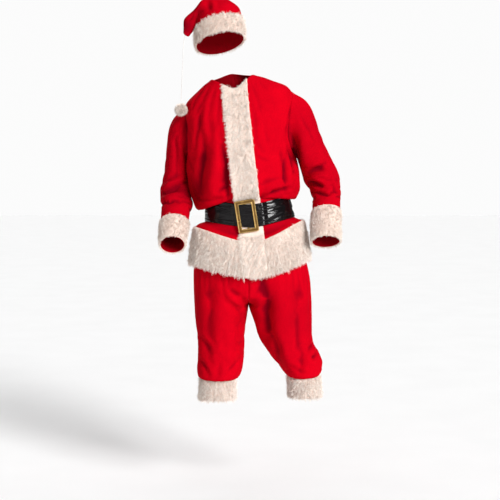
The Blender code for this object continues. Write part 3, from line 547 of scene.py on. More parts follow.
class Form:
    """Grids of points that meet at their edges, welded into one surface."""

    def __init__(self, grids: dict[str, Array], wraps: dict[str, bool]) -> None:
        """Welds the grids.

        Args:
            grids: The points of each panel, in rows and columns.
            wraps: Whether each panel's last column joins its first.
        """
        flat = np.concatenate([grid.reshape(-1, 3) for grid in grids.values()])
        keys = np.round(flat / WELD + 0.25).astype(np.int64)
        _, first, inverse = np.unique(keys, axis=0, return_index=True, return_inverse=True)
        inverse = inverse.reshape(-1)
        self.points = flat[first]
        # painted shade of each point, from 0 to 1, set by shade()
        self.hollow = np.zeros(len(self.points))
        self.index: dict[str, Array] = {}
        start = 0
        for name, grid in grids.items():
            rows, columns = grid.shape[:2]
            self.index[name] = inverse[start:start + rows * columns].reshape(rows, columns)
            start += rows * columns
        self.quads = np.concatenate([quads_of(self.index[name], wraps[name]) for name in grids])

    def normals(self) -> Array:
        """The surface's outward direction at each point."""
        a, b, c, d = (self.points[self.quads[:, k]] for k in range(4))
        facing = np.cross(c - a, d - b)
        sums = np.zeros_like(self.points)
        for k in range(4):
            np.add.at(sums, self.quads[:, k], facing)
        return unit(sums)

    def surface(self, name: str, rows: slice = slice(None), columns: slice = slice(None)
                ) -> tuple[Array, Array]:
        """The points and outward directions of a panel, or of some of its rows and columns."""
        index = self.index[name][rows, columns]
        return self.points[index], self.normals()[index]

    def members(self, names: list[str]) -> Array:
        """The numbers of the points that named panels use."""
        return np.unique(np.concatenate([self.index[name].reshape(-1) for name in names]))

    def press(self, names: list[str], folds: Table, face: Face, hold: Array) -> None:
        """Presses soft folds into the surface: a ridge, or a trough, with a shallower hollow beside it.

        Args:
            names: The panels that take the folds.
            folds: For each fold x and z of two ends, its width, height and how far it bends sideways.
            face: The side of the suit that the folds are on.
            hold: How free each point is, from 0 at a pinned edge to 1.
        """
        picked = self.members(names)
        points = self.points[picked]
        normals = self.normals()[picked]
        strayed = points + noise_at(points, FOLD_WARP_SCALE, 3.7) * FOLD_WARP
        facing = smooth(*FOLD_FACING, normals[:, 1] * face)
        height = np.zeros(len(picked))
        for fold in folds.all():
            start = np.array((fold.x1, fold.z1))
            run = np.array((fold.x2, fold.z2)) - start
            length = float(np.hypot(*run))
            along = run / length
            relative = strayed[:, (0, 2)] - start
            travel = relative @ along
            share = np.clip(travel / length, 0.0, 1.0)
            across = relative @ np.array((-along[1], along[0])) - fold.bend * 4 * share * (1 - share)
            side = across / fold.width
            beyond = (travel - share * length) / fold.width
            ridge = np.exp(-side ** 2 - beyond ** 2)
            hollow = FOLD_TROUGH * np.exp(-(side - FOLD_TROUGH_PLACE) ** 2 - beyond ** 2)
            rise = np.sin(np.pi * np.clip(share, FOLD_END, 1 - FOLD_END)) ** FOLD_POWER
            height += fold.height * rise * (ridge - hollow)
        self.points[picked] += normals * (height * facing * hold[picked])[:, None]

    def swell(self, names: list[str], places: Table, hold: Array) -> None:
        """Swells the cloth where more of it gathers.

        Args:
            names: The panels that swell.
            places: For each place its x, y and z, its radius and how far it swells.
            hold: How free each point is.
        """
        picked = self.members(names)
        points = self.points[picked]
        height = sum(place.height * nearness(points, place) for place in places.all())
        self.points[picked] += self.normals()[picked] * (height * hold[picked])[:, None]

    def relax(self, places: Table) -> None:
        """Evens the surface out near some places, as cloth does over a round shoulder.

        Args:
            places: For each place its x, y and z, its radius and how often the cloth evens out there.
        """
        for place in places.all():
            self.points = self.evened(nearness(self.points, place), int(place.steps))

    def evened(self, share: Array, steps: int) -> Array:
        """The points after each has moved towards its neighbours' middle.

        Args:
            share: How far each point moves, from 0 to 1.
            steps: How often.

        Returns:
            The evened points.
        """
        pairs = np.concatenate([self.quads[:, (k, (k + 1) % 4)] for k in range(4)])
        pairs = np.unique(np.sort(pairs, axis=1), axis=0)
        ends, others = pairs.ravel(), pairs[:, ::-1].ravel()
        count = np.maximum(np.bincount(ends, minlength=len(self.points)), 1)[:, None]
        points = self.points.copy()
        for _ in range(steps):
            sums = np.stack([np.bincount(ends, points[others, axis], len(points)) for axis in range(3)], -1)
            points += (sums / count - points) * share[:, None] * EVEN_SHARE
        return points

    def shade(self, names: list[str], places: Table) -> None:
        """Works out the velour's painted shade: deeper in the hollows of the folds and at some places.

        Args:
            names: The panels to shade.
            places: For each place its x, y and z, its radius and how deep its painted shade is.
        """
        picked = self.members(names)
        smooth_points = self.evened(np.ones(len(self.points)), HOLLOW_STEPS)
        depth = ((smooth_points - self.points) * self.normals()).sum(axis=1)[picked]
        painted_shade = np.clip((depth + HOLLOW_START) / HOLLOW_RANGE, 0.0, 1.0)
        for place in places.all():
            painted_shade = 1 - (1 - painted_shade) * (1 - place.depth * nearness(self.points[picked], place))
        self.hollow[picked] = painted_shade

    def crumple(self, hold: Array, seed: float) -> None:
        """Gives the surface a small unevenness, so that no stretch of cloth is quite smooth.

        Args:
            hold: How free each point is.
            seed: Shifts the pattern.
        """
        height = sum(noise_at(self.points, scale, seed + 5.0 * step)[:, 0] * share
                     for step, (scale, share) in enumerate(zip(CRUMPLE_SCALES, CRUMPLE_SHARES)))
        self.points += self.normals() * (height * CRUMPLE * hold)[:, None]


# ------------ meshes
def new_mesh(name: str, points: Array, faces: list, attributes: dict[str, Array] | None = None
             ) -> bpy.types.Mesh:
    """A mesh from points and faces.

    Args:
        name: The mesh's name.
        points: n by 3 numbers.
        faces: Point numbers of each face.
        attributes: Numbers, or vectors, to keep on the points.

    Returns:
        The mesh, shaded smooth.
    """
    mesh = bpy.data.meshes.new(name)
    mesh.from_pydata(points.tolist(), [], faces)
    for key, values in (attributes or {}).items():
        kind = "FLOAT" if values.ndim == 1 else "FLOAT_VECTOR"
        stored = mesh.attributes.new(key, kind, "POINT")
        word = "value" if values.ndim == 1 else "vector"
        stored.data.foreach_set(word, values.astype(np.float32).ravel())
    mesh.shade_smooth()
    return mesh


def new_object(name: str, mesh: bpy.types.Mesh, material: Material) -> Piece:
    """Puts a mesh in the scene as a piece with one material.

    Args:
        name: The piece's name.
        mesh: Its mesh.
        material: Its finish.

    Returns:
        The piece.
    """
    mesh.materials.clear()
    mesh.materials.append(material)
    made = bpy.data.objects.new(name, mesh)
    bpy.context.scene.collection.objects.link(made)
    return made


def turn_out(mesh: bpy.types.Mesh, place: Matrix = Matrix()) -> None:
    """Turns a closed mesh's faces outwards and takes it to its place.

    Args:
        mesh: The mesh.
        place: Where its own origin goes.
    """
    work = bmesh.new()
    work.from_mesh(mesh)
    bmesh.ops.recalc_face_normals(work, faces=work.faces)
    work.transform(place)
    work.to_mesh(mesh)
    work.free()


def tube_faces(index: Array) -> list[list[int]]:
    """The faces of a tube whose rings are an index's rows, closed at both ends."""
    return quads_of(index, True).tolist() + [index[-1].tolist(), index[0][::-1].tolist()]


def declare(node: str, slot: str, piece: Piece, *others: Piece) -> None:
    """Hides the CAD node that a piece stands for and puts the piece, with others on it, on the body that it
    rides on.

    Args:
        node: The node.
        slot: Not used.
        piece: The piece that replaces the node.
        *others: Other pieces that belong to it.
    """
    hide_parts(node)
    for each in (piece, *others):
        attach(each, BODY)


def pull_in(points: Array, start: bool, sides: bool) -> Array:
    """Leaves the gap of a seam at a panel's edges.

    Args:
        points: The panel's grid.
        start: Whether the first row is a seam.
        sides: Whether the first and last columns are seams.

    Returns:
        A new grid.
    """
    result = points.copy()
    if start:
        result[0] += unit(points[1] - points[0]) * SEAM_GAP / 2
    if sides:
        result[:, 0] += unit(points[:, 1] - points[:, 0]) * SEAM_GAP / 2
        result[:, -1] += unit(points[:, -2] - points[:, -1]) * SEAM_GAP / 2
    return result


def shell(name: str, points: Array, normals: Array, low: Array | float,
          high: Array | float, wrap: bool, material: Material, cap: bool = False,
          hollow: Array | float = 0.0) -> Piece:
    """A closed sheet between two offsets of a grid.

    Args:
        name: The piece's name.
        points: The grid.
        normals: Its outward directions.
        low: How far out the inner surface lies, negative for inwards.
        high: How far out the outer surface lies.
        wrap: Whether the last column joins the first.
        material: The piece's finish.
        cap: Whether the last row is closed.
        hollow: The painted shade at each point, from 0 to 1.

    Returns:
        The piece, whose points carry "inner", 1 on the inner surface, and "hollow", the painted shade.
    """
    rows, columns = points.shape[:2]
    low = np.broadcast_to(np.asarray(low, float), (rows, columns))
    high = np.broadcast_to(np.asarray(high, float), (rows, columns))
    outer = points + normals * high[..., None]
    inner = points + normals * low[..., None]
    top = np.arange(rows * columns).reshape(rows, columns)
    base = top + rows * columns
    faces = quads_of(top, wrap).tolist() + quads_of(base, wrap)[:, ::-1].tolist()
    following = np.roll(np.arange(columns), -1) if wrap else np.arange(1, columns)
    present = np.arange(columns) if wrap else np.arange(columns - 1)
    faces += np.stack([top[0, following], top[0, present], base[0, present], base[0, following]],
                      -1).tolist()
    if cap:
        faces += [top[-1].tolist(), base[-1][::-1].tolist()]
    else:
        faces += np.stack([top[-1, present], top[-1, following], base[-1, following], base[-1, present]],
                          -1).tolist()
    if not wrap:
        faces += np.stack([top[:-1, 0], top[1:, 0], base[1:, 0], base[:-1, 0]], -1).tolist()
        faces += np.stack([top[1:, -1], top[:-1, -1], base[:-1, -1], base[1:, -1]], -1).tolist()
    inside = np.repeat([0.0, 1.0], rows * columns)
    vertices = np.concatenate([outer.reshape(-1, 3), inner.reshape(-1, 3)])
    painted_shade = np.tile(np.broadcast_to(np.asarray(hollow, float), (rows, columns)).ravel(), 2)
    return new_object(name, new_mesh(name, vertices, faces, {"inner": inside, "hollow": painted_shade}), material)


def edge_profile(rows: int, columns: int, first: Rim, last: Rim, sides: Rim) -> Array:
    """How far the outer surface of a panel lies from its form: rolled at hems and dipped at seams.

    Args:
        rows: The grid's rows.
        columns: Its columns.
        first: The finish of the first row.
        last: The finish of the last row.
        sides: The finish of the first and last columns.

    Returns:
        A height for each point of the grid.
    """
    height = np.zeros((rows, columns))
    for rim, edge, nearby in ((first, 0, (1, 2)), (last, -1, (-2, -3))):
        if rim == Rim.SEAM:
            height[edge] -= SEAM_DIP
        elif rim == Rim.HEM:
            height[edge] -= CLOTH / 2
            height[list(nearby)] += HEM_ROLL
    if sides == Rim.SEAM:
        height[:, (0, -1)] = -SEAM_DIP
    return height


# ------------ node trees
class Nodes:
    """A node tree that is built a node at a time."""

    def __init__(self, tree: bpy.types.NodeTree) -> None:
        """Keeps the tree."""
        self.tree = tree

    @staticmethod
    def socket(sockets: bpy.types.bpy_prop_collection, key: str | int) -> Socket:
        """A socket by its place, or the first one in use with a name."""
        named = (found for found in sockets if found.name == key and found.enabled)
        return sockets[key] if isinstance(key, int) else next(named)

    def add(self, kind: str, inputs: dict | None = None, **settings) -> bpy.types.Node:
        """Adds a node.

        Args:
            kind: The node's type.
            inputs: Socket to value, or to the socket that feeds it.
            **settings: The node's own properties.

        Returns:
            The node.
        """
        node = self.tree.nodes.new(kind)
        for key, value in settings.items():
            setattr(node, key, value)
        for key, value in (inputs or {}).items():
            target = self.socket(node.inputs, key)
            if isinstance(value, Socket):
                self.tree.links.new(value, target)
            else:
                target.default_value = value
        return node

    def attribute(self, name: str) -> Socket:
        """A point attribute's value, for a material."""
        return self.add("ShaderNodeAttribute", attribute_name=name).outputs["Fac"]

    def math(self, operation: str, first: object, second: object, clamp: bool = True) -> Socket:
        """Arithmetic on two values, kept from 0 to 1 where it is clamped."""
        node = self.add("ShaderNodeMath", {0: first, 1: second}, operation=operation, use_clamp=clamp)
        return node.outputs[0]

    def vector(self, operation: str, first: object, second: object) -> Socket:
        """Arithmetic on vectors. The second is a number for SCALE, and DOT_PRODUCT gives a number."""
        inputs = {0: first, "Scale" if operation == "SCALE" else 1: second}
        outputs = self.add("ShaderNodeVectorMath", inputs, operation=operation).outputs
        return outputs["Value" if operation == "DOT_PRODUCT" else 0]

    def chance(self, low: float, high: object, seed: int) -> Socket:
        """A random number between two values."""
        node = self.add("FunctionNodeRandomValue", {2: low, 3: high, "Seed": seed}, data_type="FLOAT")
        return node.outputs[1]

    def noise(self, place: Socket, scale: float, detail: float = 2.0, roughness: float = 0.5) -> Socket:
        """A noise texture's value from 0 to 1."""
        inputs = {"Vector": place, "Scale": scale, "Detail": detail, "Roughness": roughness}
        return self.add("ShaderNodeTexNoise", inputs).outputs[0]

    def ramp(self, value: Socket, low: float, high: float, bottom: float = 0.0, top: float = 1.0) -> Socket:
        """Maps low..high to bottom..top, held at the ends."""
        span = {"From Min": low, "From Max": high, "To Min": bottom, "To Max": top}
        return self.add("ShaderNodeMapRange", {"Value": value, **span}).outputs[0]

    def blend(self, share: Socket, first: object, second: object) -> Socket:
        """A mix of two colours."""
        node = self.add("ShaderNodeMix", {0: share, 6: first, 7: second}, data_type="RGBA")
        return node.outputs[2]

    def bump(self, height: Socket, strength: float, distance: float, after: Socket | None = None) -> Socket:
        """A bumped normal, on top of another where one is given."""
        inputs = {"Height": height, "Strength": strength, "Distance": distance}
        return self.add("ShaderNodeBump", inputs | ({} if after is None else {"Normal": after})).outputs[0]

    def stretch(self, place: Socket, scale: tuple[float, float, float]) -> Socket:
        """Coordinates scaled along their axes."""
        return self.add("ShaderNodeMapping", {"Vector": place, "Scale": scale}).outputs[0]


@dataclass(frozen=True)
class Finish:
    """What every finish has: a name, and a shader of its own."""

    name: str = "finish"

    def shade(self, tree: Nodes, place: Socket) -> dict:
        """Builds the finish's nodes.

        Args:
            tree: The material's node tree.
            place: The piece's own coordinates.

        Returns:
            The Principled shader's inputs: a value or a socket for each.
        """
        raise NotImplementedError

    def material(self) -> Material:
        """Makes the material."""
        made = bpy.data.materials.new(self.name)
        made.use_nodes = True
        tree = Nodes(made.node_tree)
        shader = made.node_tree.nodes["Principled BSDF"]
        place = tree.add("ShaderNodeTexCoord").outputs["Object"]
        for key, value in self.shade(tree, place).items():
            target = shader.inputs[key]
            if isinstance(value, Socket):
                made.node_tree.links.new(value, target)
            else:
                target.default_value = value
        return made


@dataclass(frozen=True)
class Velour(Finish):
    """Bright red brushed velour: a short nap that lies this way and that, with painted shade in its hollows
    and a dull knitted back.
    """

    name: str = "red_velour"
    bright: tuple = (0.555, 0.0002, 0.0080, 1)
    deep: tuple = (0.480, 0.0001, 0.0074, 1)
    # painted shade: the red deep in the hollows of the folds and at the listed places
    hollow: tuple = (0.185, 0.0001, 0.006, 1)
    back: tuple = (0.30, 0.001, 0.006, 1)
    patch: tuple = (14.0, 4.0, 0.6)              # scale, detail and roughness of the nap's patches
    patch_edge: tuple = (0.30, 0.68)             # the noise's values between which a patch fades in
    streak: tuple = (260.0, 260.0, 70.0)         # scale of the nap's streaks along each axis
    streak_ramp: tuple = (0.25, 0.75, 0.0, 0.35)
    drape: tuple = (0.20, 0.004)                 # strength and height of the cloth's own unevenness
    pile: tuple = (0.35, 0.0006)                 # and of the nap's fine pile

    def shade(self, tree: Nodes, place: Socket) -> dict:
        """The nap's patches, painted shade in the hollows, its fine pile and the plain back.

        Args:
            tree: The material's node tree.
            place: The piece's own coordinates.

        Returns:
            The Principled shader's inputs.
        """
        patches = tree.ramp(tree.noise(place, *self.patch), *self.patch_edge)
        streaks = tree.ramp(tree.noise(tree.stretch(place, self.streak), 1.0), *self.streak_ramp)
        colour = tree.blend(tree.math("SUBTRACT", patches, streaks), self.deep, self.bright)
        # painted shade: the colour goes towards the hollow red where the "hollow" attribute is high
        colour = tree.blend(tree.attribute("hollow"), colour, self.hollow)
        colour = tree.blend(tree.attribute("inner"), colour, self.back)
        drape = tree.bump(tree.noise(place, 45.0, 3.0), *self.drape)
        pile = tree.bump(tree.noise(place, 900.0, 1.0), *self.pile, drape)
        return {"Base Color": colour, "Roughness": 0.85, "Specular IOR Level": 0.012, "Sheen Weight": 0.05,
                "Sheen Roughness": 0.35, "Sheen Tint": (1.0, 0.01, 0.05, 1), "Normal": pile}


@dataclass(frozen=True)
class Fur(Finish):
    """Off-white faux fur, with painted shade at its roots and in greyer strokes that vary at random from
    tuft to tuft.
    """

    name: str = "white_fur"
    tip: tuple = (0.990, 0.935, 0.875, 1)
    # painted shade: the colour of the shaded strokes between the tufts, and of the roots deep in the pile
    shadow: tuple = (0.62, 0.47, 0.39, 1)
    root: tuple = (0.82, 0.67, 0.59, 1)
    stroke: tuple = (210.0, 210.0, 75.0)     # scale of the dull strokes along each axis
    stroke_edge: tuple = (0.38, 0.58)
    root_part: float = 0.45                  # how far up a strand the root's colour reaches

    def shade(self, tree: Nodes, place: Socket) -> dict:
        """Painted shade in strokes, deeper on some tufts than others at random, and by how far along its
        strand a point is.

        Args:
            tree: The material's node tree.
            place: The piece's own coordinates.

        Returns:
            The Principled shader's inputs.
        """
        strokes = tree.noise(tree.stretch(place, self.stroke), 1.0, 3.0, 0.65)
        patches = tree.ramp(strokes, *self.stroke_edge)
        # painted shade between the tufts, scaled at random for each tuft
        stroke_shade = tree.math("MULTIPLY", tree.attribute("tone"), patches)
        strand = tree.blend(stroke_shade, self.tip, self.shadow)
        colour = tree.blend(tree.ramp(tree.attribute("along"), 0.0, self.root_part), self.root, strand)
        return {"Base Color": colour, "Roughness": 0.95, "Specular IOR Level": 0.15}


@dataclass(frozen=True)
class Vinyl(Finish):
    """Black glossy vinyl, worn a little duller in patches."""

    name: str = "black_vinyl"
    colour: tuple = (0.004, 0.003, 0.0035, 1)
    gloss: tuple = (0.3, 0.7, 0.09, 0.19)        # the noise's values, and the roughness there
    crinkle: tuple = (24.0, 24.0, 130.0)         # scale of the crinkles along each axis
    crinkle_bump: tuple = (0.40, 0.0024)
    grain_bump: tuple = (0.10, 0.0002)

    def shade(self, tree: Nodes, place: Socket) -> dict:
        """Gloss that varies, over fine crinkles that run round the belt.

        Args:
            tree: The material's node tree.
            place: The piece's own coordinates.

        Returns:
            The Principled shader's inputs.
        """
        gloss = tree.ramp(tree.noise(place, 30.0, 3.0), *self.gloss)
        crinkles = tree.noise(tree.stretch(place, self.crinkle), 1.0, 3.0, 0.6)
        worn = tree.bump(crinkles, *self.crinkle_bump)
        grain = tree.bump(tree.noise(place, 1400.0, 1.0), *self.grain_bump, worn)
        return {"Base Color": self.colour, "Roughness": gloss, "Specular IOR Level": 0.24,
                "Coat Weight": 0.04, "Coat Roughness": 0.08, "Normal": grain}


@dataclass(frozen=True)
class Brass(Finish):
    """Brass-coloured plated metal, browner in tarnished patches and in the channel, which is partly painted
    shade.
    """

    name: str = "plated_brass"
    bright: tuple = (0.80, 0.54, 0.19, 1)
    dull: tuple = (0.17, 0.090, 0.028, 1)
    patch: tuple = (55.0, 4.0, 0.6)
    patch_ramp: tuple = (0.36, 0.68, 0.0, 0.5)
    scratch: tuple = (300.0, 300.0, 2600.0)      # scale of the scratches along each axis
    roughness: tuple = (0.20, 0.42)              # where it is bright and where it is dull

    def shade(self, tree: Nodes, place: Socket) -> dict:
        """Tarnished patches, the channel between the rims partly tarnished and partly painted shade, and
        fine rubbed scratches.

        Args:
            tree: The material's node tree.
            place: The piece's own coordinates.

        Returns:
            The Principled shader's inputs.
        """
        patches = tree.ramp(tree.noise(place, *self.patch), *self.patch_ramp)
        tarnish_and_shade = tree.math("ADD", patches, tree.attribute("channel"))
        scratches = tree.noise(tree.stretch(place, self.scratch), 1.0)
        return {"Base Color": tree.blend(tarnish_and_shade, self.bright, self.dull), "Metallic": 1.0,
                "Roughness": tree.ramp(tarnish_and_shade, 0.0, 1.0, *self.roughness),
                "Normal": tree.bump(scratches, 0.12, 0.0002)}


@dataclass(frozen=True)
class Twist(Finish):
    """Off-white twisted cord, with painted shade in the grooves between its strands."""

    name: str = "white_cord"
    crown: tuple = (0.90, 0.88, 0.84, 1)
    # painted shade: the colour in the grooves between the strands
    groove: tuple = (0.50, 0.46, 0.42, 1)

    def shade(self, tree: Nodes, place: Socket) -> dict:
        """Colour by how far out of the groove a point is: painted shade in the groove.

        Args:
            tree: The material's node tree.
            place: The piece's own coordinates.

        Returns:
            The Principled shader's inputs.
        """
        fibres = tree.noise(place, 1800.0, 2.0)
        colour = tree.blend(tree.attribute("lobe"), self.groove, self.crown)
        return {"Base Color": colour, "Roughness": 0.9, "Specular IOR Level": 0.2,
                "Normal": tree.bump(fibres, 0.4, 0.0003)}


@dataclass(frozen=True)
class Floor(Finish):
    """A plain pale floor."""

    name: str = "pale_floor"
    colour: tuple = (0.93, 0.93, 0.93, 1)
    lift: float = 0.02       # how much paler its palest patches are

    def shade(self, tree: Nodes, place: Socket) -> dict:
        """Almost even, with a faint mottle.

        Args:
            tree: The material's node tree.
            place: The piece's own coordinates.

        Returns:
            The Principled shader's inputs.
        """
        mottle = tree.ramp(tree.noise(place, 3.0, 2.0), 0.3, 0.7)
        paler = tuple(min(1.0, value + self.lift) for value in self.colour[:3]) + (1,)
        return {"Base Color": tree.blend(mottle, self.colour, paler), "Roughness": 0.9,
                "Specular IOR Level": 0.0}


# ------------ sections as points
@dataclass(frozen=True)
class Weave:
    """How finely the cloth is divided."""

    placket: int = 8         # columns from the closure to the placket's edge
    side: int = 36           # columns from there to the side seam
    back: int = 44           # columns from the back's middle to the side seam
    armhole: int = 10        # rows in each of the armhole's four parts
    hat: int = 72            # columns round the hat


WEAVE = Weave()


def stations(tables: list[Table], first: str, last: str, columns: str, step: float) -> list[float]:
    """Places between two rows, close enough together to be a given step apart on every table.

    Args:
        tables: Tables with the same rows.
        first: The first row's name.
        last: The last row's name.
        columns: The columns whose change sets the number of places.
        step: The most that one of those columns may change by from place to place.

    Returns:
        The places, both ends among them.
    """
    table = tables[0]
    picked = [table.columns.index(name) for name in columns.split()]
    places: list[float] = []
    for index in range(table.row(first), table.row(last)):
        change = max(np.abs(one.values[index + 1, picked] - one.values[index, picked]).max()
                     for one in tables)
        count = max(MIN_STEPS, math.ceil(change / step))
        places += [index + i / count for i in range(count)]
    return places + [float(table.row(last))]


def jacket_row(t: float, side: Side, face: Face, shares: Array) -> Array:
    """A row of one quarter of the jacket.

    Args:
        t: The section, as a place in JACKET.
        side: The wearer's side.
        face: Front or back.
        shares: How far each point is from the middle (0) to the side seam (1).

    Returns:
        The row's points.
    """
    row = JACKET.at(t)
    if side == Side.LEFT:
        end, gap = (row.left_x, row.left_y, row.left_z), row.left_gap
    else:
        end, gap = (row.right_x, row.right_y, row.right_z), row.right_gap
    if face == Face.FRONT:
        centre = (CENTRE_FRONT_TOP - CENTRE_FRONT_SLOPE * row.front_z, row.front_y, row.front_z)
    else:
        centre = ((row.left_x + row.right_x) / 2, row.back_y, row.back_z)
    edge_y = end[1] + face * gap
    forward = (1 - shares ** SECTION_POWER) ** (1 / SECTION_POWER)
    return np.stack([centre[0] * (1 - shares) + end[0] * shares, edge_y + (centre[1] - edge_y) * forward,
                     end[2] + (centre[2] - end[2]) * (1 - shares ** SEAM_EASE) ** CENTRE_EASE], -1)


def front_shares(t: float, side: Side, placket: int, rest: int, width: float) -> Array:
    """The shares of a front's row, with the placket's edge on a column.

    Args:
        t: The section.
        side: The wearer's side.
        placket: Columns from the closure to the placket's edge.
        rest: Columns from there to the side seam.
        width: The placket's width.

    Returns:
        Shares from 0 to 1.
    """
    row = JACKET.at(t)
    closure = CENTRE_FRONT_TOP - CENTRE_FRONT_SLOPE * row.front_z
    edge = width / 2 / abs((row.left_x if side == Side.LEFT else row.right_x) - closure)
    start = math.asin(edge)
    outer = np.sin(np.linspace(start, math.pi / 2, rest + 1))
    outer[-1] = 1.0
    return np.concatenate([edge * np.arange(placket) / placket, outer])


def back_shares(count: int) -> Array:
    """The shares of a row of half the back, for a number of columns."""
    return np.append(np.sin(np.linspace(0, math.pi / 2, count + 1))[:-1], 1.0)


def jacket_ring(t: float, placket: int, rest: int, back: int, width: float) -> Array:
    """A whole section of the jacket, from the closure round by the wearer's left.

    Args:
        t: The section.
        placket: Columns from the closure to the placket's edge.
        rest: Columns from there to the side seam.
        back: Columns over half the back.
        width: The placket's width.

    Returns:
        The section's points.
    """
    quarter = {}
    for side in Side:
        quarter[side, Face.FRONT] = jacket_row(t, side, Face.FRONT,
                                               front_shares(t, side, placket, rest, width))
        quarter[side, Face.BACK] = jacket_row(t, side, Face.BACK, back_shares(back))
    return np.concatenate([quarter[Side.LEFT, Face.FRONT][:-1], quarter[Side.LEFT, Face.BACK][::-1],
                           quarter[Side.RIGHT, Face.BACK][1:], quarter[Side.RIGHT, Face.FRONT][::-1][1:-1]])


def sleeve_ring(side: Side, t: float, loop: Array) -> Array:
    """A section of a sleeve. The armhole's own loop fades out over the cap.

    Args:
        side: The wearer's side.
        t: The section, as a place in the side's table.
        loop: The armhole's points.

    Returns:
        As many points as the loop has.
    """
    if t == 0:
        return loop.copy()
    table = SLEEVES[side]
    row, base = table.at(t), table.at(0)
    middle = np.array((row.inner_x + row.outer_x, 2 * row.y, row.inner_z + row.outer_z)) / 2
    out = np.array((row.outer_x - row.inner_x, 0, row.outer_z - row.inner_z)) / 2
    pitch = math.radians(row.pitch)
    front = np.array((0, -math.cos(pitch), math.sin(pitch))) * row.half_depth
    base_middle = np.array((base.inner_x + base.outer_x, 2 * base.y, base.inner_z + base.outer_z)) / 2
    base_out = np.array((base.outer_x - base.inner_x, 0, base.outer_z - base.inner_z)) / 2
    turn = np.array(Vector(base_out).rotation_difference(Vector(out)).to_matrix())
    scale = np.linalg.norm(out) / np.linalg.norm(base_out)
    angle = (2 * math.pi * np.arange(len(loop)) / len(loop))[:, None]
    oval = middle + out * np.cos(angle) + front * np.sin(angle)
    carried = middle + (loop - base_middle) @ turn.T * scale
    fade = 1 - float(smooth(0.0, CAP_END, t))
    return oval + (carried - oval) * fade


def leg_row(side: Side, t: float, face: Face, count: int) -> Array:
    """A row of a trouser panel, from its inner edge round to the side seam.

    Args:
        side: The wearer's side.
        t: The section, as a place in the side's table.
        face: Front or back.
        count: The number of columns.

    Returns:
        count + 1 points.
    """
    row = LEGS[side].at(t)
    face_y, face_z = (row.front_y, row.front_z) if face == Face.FRONT else (row.back_y, row.back_z)
    start = math.radians(row.start)
    half = (row.side_x - row.inner_x) / (1 + math.cos(start))
    angle = np.linspace(start, math.pi, count + 1)
    x = row.side_x - half - half * np.cos(angle)
    y = face_y * np.abs(np.sin(angle)) ** LEG_POWER
    end_z = np.where(angle < math.pi / 2, row.inner_z, row.side_z)
    points = np.stack([x, y, face_z * np.sin(angle) + end_z * (1 - np.sin(angle))], -1)
    points[0, 0] = row.inner_x
    points[-1] = (row.side_x, 0, row.side_z)
    if start == 0:
        points[0, 1:] = (0, row.inner_z)
    return points


def hat_ring(t: float, count: int) -> Array:
    """A section of the hat, from its far side round by the front.

    Args:
        t: The section, as a place in HAT.
        count: The number of columns.

    Returns:
        count points.
    """
    row = HAT.at(t)
    middle = np.array((row.near_x + row.far_x, 2 * row.y, row.near_z + row.far_z)) / 2
    out = np.array((row.far_x - row.near_x, 0, row.far_z - row.near_z)) / 2
    front = np.array((0, -math.sqrt(row.half_depth ** 2 - row.lift ** 2), row.lift))
    angle = (2 * math.pi * np.arange(count) / count)[:, None]
    return middle + out * np.cos(angle) - front * np.sin(angle)


def hold_of(form: Form, rows: dict[str, Array]) -> Array:
    """How free each point of a form is. At a seam the less free panel counts.

    Args:
        form: The form.
        rows: How free each row of each panel is.

    Returns:
        A number for each point, from 0 to 1.
    """
    hold = np.ones(len(form.points))
    for name, values in rows.items():
        index = form.index[name]
        np.minimum.at(hold, index.reshape(-1), np.repeat(values, index.shape[1]))
    return hold


# ------------ settling
@dataclass(frozen=True)
class Settle:
    """How a garment's form is left to fall into place as cloth."""

    frames: int = 15
    growth: float = 0.018    # how much larger the cloth is than the form
    support: float = 0.20    # how strongly the wearer under it keeps its shape
    firm: float = 0.7        # and where it is all but pinned
    pinned: float = 0.03     # a point that is less free than this stays where it is
    grades: int = 40         # how finely the pins' strength is graded
    reach: float = 0.011     # the furthest that a point may move
    mass: float = 0.25
    stretch: float = 12.0    # how stiff it is against stretching and squeezing,
    shear: float = 4.0       # shearing
    bend: float = 4.0        # and bending
    drag: float = 2.0
    quality: int = 6

    def run(self, name: str, form: Form, hold: Array) -> None:
        """Simulates the form as one cloth and keeps where it comes to rest.

        Args:
            name: The garment's name, for the log.
            form: The form, whose points are moved.
            hold: How free each point is, 0 where it is pinned.
        """
        mesh = new_mesh(name + "_settle", form.points, form.quads.tolist())
        cloth = bpy.data.objects.new(name + "_settle", mesh)
        bpy.context.scene.collection.objects.link(cloth)
        group = cloth.vertex_groups.new(name="pin")
        spread = self.firm - self.support
        weights = np.where(hold < self.pinned, 1.0, self.support + spread * (1 - hold) ** 2)
        for step in range(self.grades + 1):
            picked = np.flatnonzero(np.round(weights * self.grades) == step)
            group.add(picked.tolist(), step / self.grades, "REPLACE")
        modifier = cloth.modifiers.new("cloth", "CLOTH")
        settings = modifier.settings
        settings.quality = self.quality
        settings.mass = self.mass
        settings.tension_stiffness = settings.compression_stiffness = self.stretch
        settings.shear_stiffness = self.shear
        settings.bending_stiffness = self.bend
        settings.air_damping = self.drag
        settings.vertex_group_mass = group.name
        settings.pin_stiffness = 1.0
        settings.shrink_min = -self.growth
        modifier.collision_settings.use_collision = False
        modifier.point_cache.frame_end = self.frames
        scene = bpy.context.scene
        for frame in range(1, self.frames + 1):
            scene.frame_set(frame)
        settled = cloth.evaluated_get(bpy.context.evaluated_depsgraph_get()).to_mesh()
        rested = np.empty(len(form.points) * 3, np.float32)
        settled.vertices.foreach_get("co", rested)
        move = rested.reshape(-1, 3).astype(float) - form.points
        far = np.linalg.norm(move, axis=1, keepdims=True)
        capped = np.tanh(far / self.reach) * self.reach / np.maximum(far, 1e-9)
        form.points += np.where(hold[:, None] < self.pinned, 0.0, move * capped)
        log.info("%s settled: moved %.1f mm at most", name, far.max() * 1000)
        scene.frame_set(1)
        bpy.data.objects.remove(cloth)


